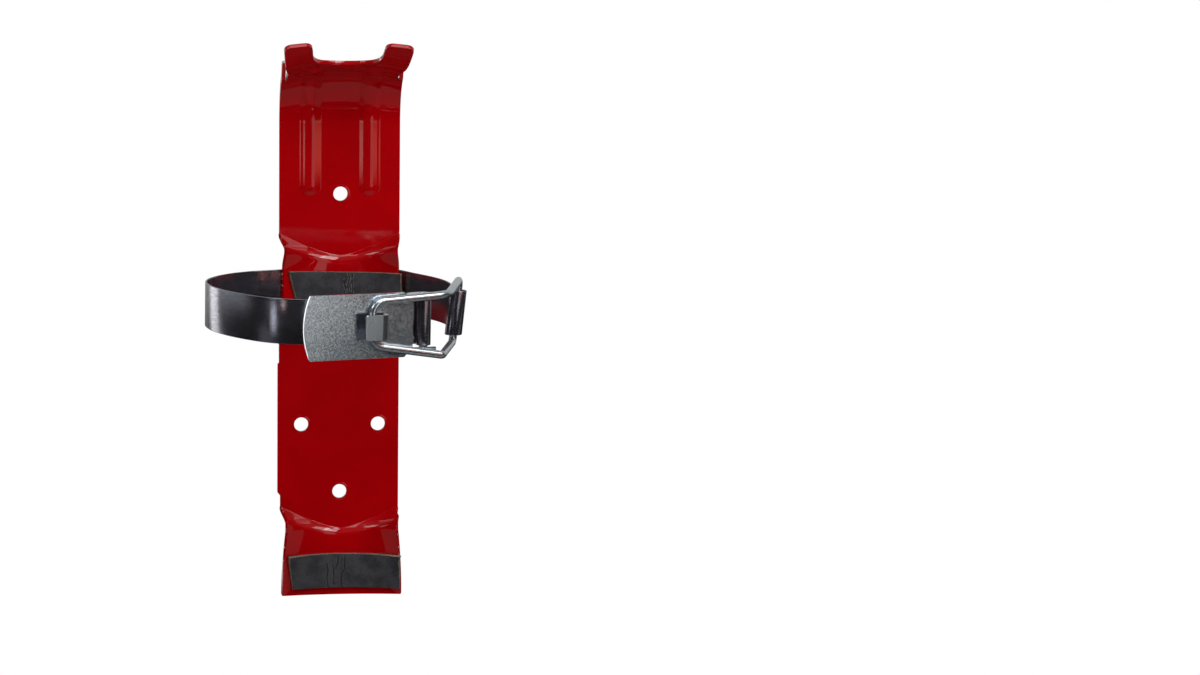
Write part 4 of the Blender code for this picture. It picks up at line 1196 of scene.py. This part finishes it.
def foam_material(settings):
    """Matt closed-cell foam: fine pores, clouding, dusty cracks with painted shade down their middles, and a
    pale-brown cut edge.
    """
    material = bpy.data.materials.new("grey_foam")
    n = Nodes(material)
    where = n.place()
    pores = n.cells(where, 2400.0, 0)
    grain = n.noise(where, 1500.0, 3.0, 0.7)
    cloud = n.noise(where, 130.0, 3.0, 0.6)
    dark = tuple(0.72 * c for c in settings.colour)
    pale = tuple(1.35 * c for c in settings.colour)
    colour = n.mix(n.step(cloud * 0.6 + grain * 0.4, 0.38, 0.62), dark, pale)
    dust = n.step(n.noise(where, 500.0, 3.0), 0.36, 0.56)
    colour = n.mix(n.attribute("crack_lip") * dust * 0.5, colour, CRACK_DUST)
    # Painted shade: the middle of each crack is made nearly black
    colour = n.mix(n.attribute("crack"), colour, CRACK_PAINTED_SHADE)
    fray = n.step(n.noise(where, 800.0, 2.0), 0.35, 0.65)
    colour = n.mix(n.attribute("cut_edge") * (0.35 + 0.5 * fray), colour, FRAYED_EDGE)
    n.principled({"Base Color": colour, "Roughness": 0.72, "Specular IOR Level": 0.15,
                  "Normal": n.bump(grain + pores * 0.5, 0.00007, 0.6)})
    return material


def spring_steel_material(settings):
    """Blued spring steel with rolling marks along its length, specks and faint heat tints."""
    material = bpy.data.materials.new("dark_spring_steel")
    n = Nodes(material)
    where = n.place()
    streaks = n.noise(n.place(scale=(0.10, 0.10, 1)), 1500.0, 3.0, 0.6)
    specks = n.noise(where, 1300.0, 3.0, 0.7)
    smudge = n.noise(where, 55.0, 4.0, 0.6)
    rough = n.step(smudge, 0.3, 0.75, 0.13, 0.22) + 0.06 * specks
    tint = n.mix(n.step(n.noise(n.place(scale=(1, 1, 0.25)), 45.0, 2.0), 0.35, 0.65),
                 tuple(settings.colour), HEAT_TINT)
    colour = n.mix(n.step(specks * 0.6 + streaks * 0.4, 0.40, 0.66), tint,
                   tuple(1.6 * c for c in settings.colour))
    n.principled({"Base Color": colour, "Metallic": 0.95, "Roughness": rough,
                  "Normal": n.bump(streaks + specks, 0.00003, 0.4)})
    return material


def zinc_material(settings, name, mottling=1.0):
    """Bright zinc plate: fine bluish spangle, cloudy tarnish and a slightly rough skin, with painted shade
    on the front of the lever's tab and a painted highlight on the lever's cut edges.
    """
    material = bpy.data.materials.new(name)
    n = Nodes(material)
    where = n.place()
    spangle = n.cells(where, 1300.0, 1)
    grain = n.noise(where, 1400.0, 3.0, 0.7)
    cloud = n.noise(where, 70.0, 3.0, 0.6)
    base = tuple(settings.colour)
    colour = n.mix(n.step(grain, 0.38, 0.62), tuple(0.68 * c for c in base),
                   tuple(min(1.0, 1.28 * c) for c in base))
    colour = n.mix(n.step(cloud, 0.35, 0.7) * 0.35 * mottling, colour,
                   (0.8 * base[0], 0.88 * base[1], base[2]))
    # Painted shade: the front of the lever's tab is made darker than the other zinc
    colour = n.mix(n.attribute("tab"), colour, tuple(0.60 * c for c in base))
    # Painted highlight: the lever's cut edges are made much lighter so that they shine
    colour = n.mix(n.attribute("cut_edge") * 0.8, colour, PAINTED_HIGHLIGHT_EDGE)
    rough = n.step(grain, 0.3, 0.7, 0.14, 0.22) + 0.03 * n.across(spangle, 0)
    n.principled({"Base Color": colour, "Metallic": 0.94, "Roughness": rough,
                  "Normal": n.bump(grain + 0.4 * n.across(spangle, 1), 0.000022, 0.5 * mottling)})
    return material


def glow_material(name, shine, tint=(1.0, 1.0, 1.0)):
    """Surface that glows in reflections, by shine as a function of the nodes, and that takes light
    and shadow otherwise."""
    material = bpy.data.materials.new(name)
    n = Nodes(material)
    glossy = n.add("ShaderNodeLightPath", output=3)
    glow = n.add("ShaderNodeEmission", {}, {"Color": tint, "Strength": shine(n)})
    plain = n.add("ShaderNodeBsdfDiffuse", {}, {"Color": (0.8, 0.8, 0.8)})
    mixed = n.add("ShaderNodeMixShader", {}, {0: glossy, 1: plain, 2: glow})
    n.add("ShaderNodeOutputMaterial", {}, {"Surface": mixed})
    return material


# Stage

def looking(place, target):
    """Matrix of something at a place whose +Z points away from the target."""
    turn = (Vector(place) - Vector(target)).to_track_quat("Z", "Y").to_matrix().to_4x4()
    return Matrix.Translation(place) @ turn


def add_card(name, centre, width, height, facing, material):
    """Flat card that the camera doesn't see. Its mesh is in world coordinates."""
    card = bmesh.new()
    bmesh.ops.create_grid(card, x_segments=1, y_segments=1, size=0.5)
    mesh = bpy.data.meshes.new(name)
    card.to_mesh(mesh)
    card.free()
    mesh.transform(looking(centre, Vector(centre) - Vector(facing))
                   @ Matrix.Diagonal((width, height, 1, 1)))
    mesh.materials.append(material)
    piece = bpy.data.objects.new(name, mesh)
    bpy.context.scene.collection.objects.link(piece)
    piece.visible_camera = False
    return piece


def add_softbox(name, place, target, width, height, radiance, glossy=True, roll=0.0):
    """Area lamp that looks at a target, with its brightness set as radiance."""
    lamp = bpy.data.lights.new(name, "AREA")
    lamp.shape = "RECTANGLE"
    lamp.size = width
    lamp.size_y = height
    lamp.energy = radiance * math.pi * width * height
    softbox = bpy.data.objects.new(name, lamp)
    bpy.context.scene.collection.objects.link(softbox)
    softbox.visible_glossy = glossy
    softbox.visible_camera = False
    softbox.rotation_mode = "QUATERNION"
    turned = looking(place, target) @ Matrix.Rotation(roll, 4, "Z")
    softbox.location, softbox.rotation_quaternion, _ = turned.decompose()
    return softbox


class BRACKET_OT_stage(bpy.types.Operator):
    """Set the camera, the lights and the cards"""

    bl_idname = "bracket.stage"
    bl_label = "Stage"

    def execute(self, context):
        settings = context.scene.bracket_stage
        scene = context.scene
        scene.view_settings.view_transform = "Standard"
        camera = bpy.data.cameras.new("camera")
        camera.lens = CAMERA_LENS
        camera.sensor_width = 36
        camera.clip_end = 20
        view = bpy.data.objects.new("camera", camera)
        scene.collection.objects.link(view)
        forward = Vector((math.sin(CAMERA_YAW) * math.cos(CAMERA_PITCH),
                          math.cos(CAMERA_YAW) * math.cos(CAMERA_PITCH), -math.sin(CAMERA_PITCH)))
        level = Vector((math.cos(CAMERA_YAW), -math.sin(CAMERA_YAW), 0))
        up = level.cross(forward)
        right = level * math.cos(CAMERA_ROLL) + up * math.sin(CAMERA_ROLL)
        up = up * math.cos(CAMERA_ROLL) - level * math.sin(CAMERA_ROLL)
        turn = Matrix((right, up, -forward)).transposed()
        view.matrix_world = Matrix.Translation(CAMERA_PLACE) @ turn.to_4x4()
        scene.camera = view

        def wall_shine(n):
            height = n.across(n.add("ShaderNodeTexCoord", output=3), 2)
            return n.step(height, BACKDROP_SHINE_FROM, BACKDROP_SHINE_TO, BACKDROP_LOW_SHINE,
                          settings.wall_shine)

        def floor_shine(n):
            depth = n.across(n.add("ShaderNodeTexCoord", output=3), 1)
            front = n.step(depth, FLOOR_SHINE_FRONT - 0.05, FLOOR_SHINE_FRONT + 0.05, 0.0,
                           settings.floor_shine)
            return front * n.step(depth, 0.0, FLOOR_SHINE_BACK, 1.0, 0.0)

        def rib_shine(n):
            height = n.across(n.add("ShaderNodeTexCoord", output=3), 2)
            return n.step(height, *RIB_CARD_FADE_IN, 0.0, settings.rib) * n.step(
                height, *RIB_CARD_FADE_OUT, 1.0, 0.0)

        add_card("backdrop", (0, BACKDROP_Y, 0), 9, 6, (0, -1, 0), glow_material("backdrop", wall_shine))
        add_card("floor", (0, 0, FLOOR_Z), 9, 9, (0, 0, 1), glow_material("floor", floor_shine))
        for name, place, width, tint in RIB_CARDS:
            facing = Vector((-place[0], -place[1], 0)).normalized()
            card = add_card(name, place, width, RIB_CARD_HEIGHT, facing,
                            glow_material(name, rib_shine, tint))
            card.visible_diffuse = False
            card.visible_shadow = False
        for name, setting, share, place, target, width, height, roll in SOFTBOXES:
            add_softbox(name, place, target, width, height, share * getattr(settings, setting),
                        glossy=setting != "fill", roll=math.radians(roll))
        world = bpy.data.worlds.new("room")
        n = Nodes(world)
        up = n.across(n.add("ShaderNodeTexCoord", output=0), 2)
        camera_ray = n.add("ShaderNodeLightPath", output=0)
        light = n.step(up, 0.2, 0.7, settings.room, settings.sky) * (1 - camera_ray) + camera_ray
        white = n.add("ShaderNodeBackground", {}, {"Color": (1.0, 1.0, 1.0), "Strength": light})
        n.add("ShaderNodeOutputWorld", {}, {"Surface": white})
        scene.world = world
        return {"FINISHED"}


class BRACKET_PT_panel(bpy.types.Panel):
    """Lists the bracket's pieces and their sizes"""

    bl_label = "Extinguisher bracket"
    bl_idname = "BRACKET_PT_panel"
    bl_space_type = "VIEW_3D"
    bl_region_type = "UI"
    bl_category = "Bracket"

    def draw(self, context):
        for operator in OPERATORS:
            self.layout.operator(operator.bl_idname)
        for name in SETTINGS:
            box = self.layout.box()
            group = getattr(context.scene, name)
            for key in group.__annotations__:
                box.prop(group, key)


SETTINGS = {
    "bracket_plate": BracketPlateSettings,
    "bracket_pads": BracketPadSettings,
    "bracket_band": BracketBandSettings,
    "bracket_latch": BracketLatchSettings,
    "bracket_stage": BracketStageSettings,
}
OPERATORS = (BRACKET_OT_plate, BRACKET_OT_pads, BRACKET_OT_band, BRACKET_OT_lever, BRACKET_OT_pin,
             BRACKET_OT_bail, BRACKET_OT_stage)


def register():
    for kind in (*SETTINGS.values(), *OPERATORS, BRACKET_PT_panel):
        bpy.utils.register_class(kind)
    for name, kind in SETTINGS.items():
        setattr(bpy.types.Scene, name, PointerProperty(type=kind))


def unregister():
    for name in SETTINGS:
        delattr(bpy.types.Scene, name)
    for kind in (BRACKET_PT_panel, *reversed(OPERATORS), *SETTINGS.values()):
        bpy.utils.unregister_class(kind)


def main():
    register()
    bpy.ops.bracket.plate()
    bpy.ops.bracket.pads()
    bpy.ops.bracket.band()
    bpy.ops.bracket.lever()
    bpy.ops.bracket.pin()
    bpy.ops.bracket.bail()
    bpy.ops.bracket.stage()


if __name__ == "__main__":
    main()
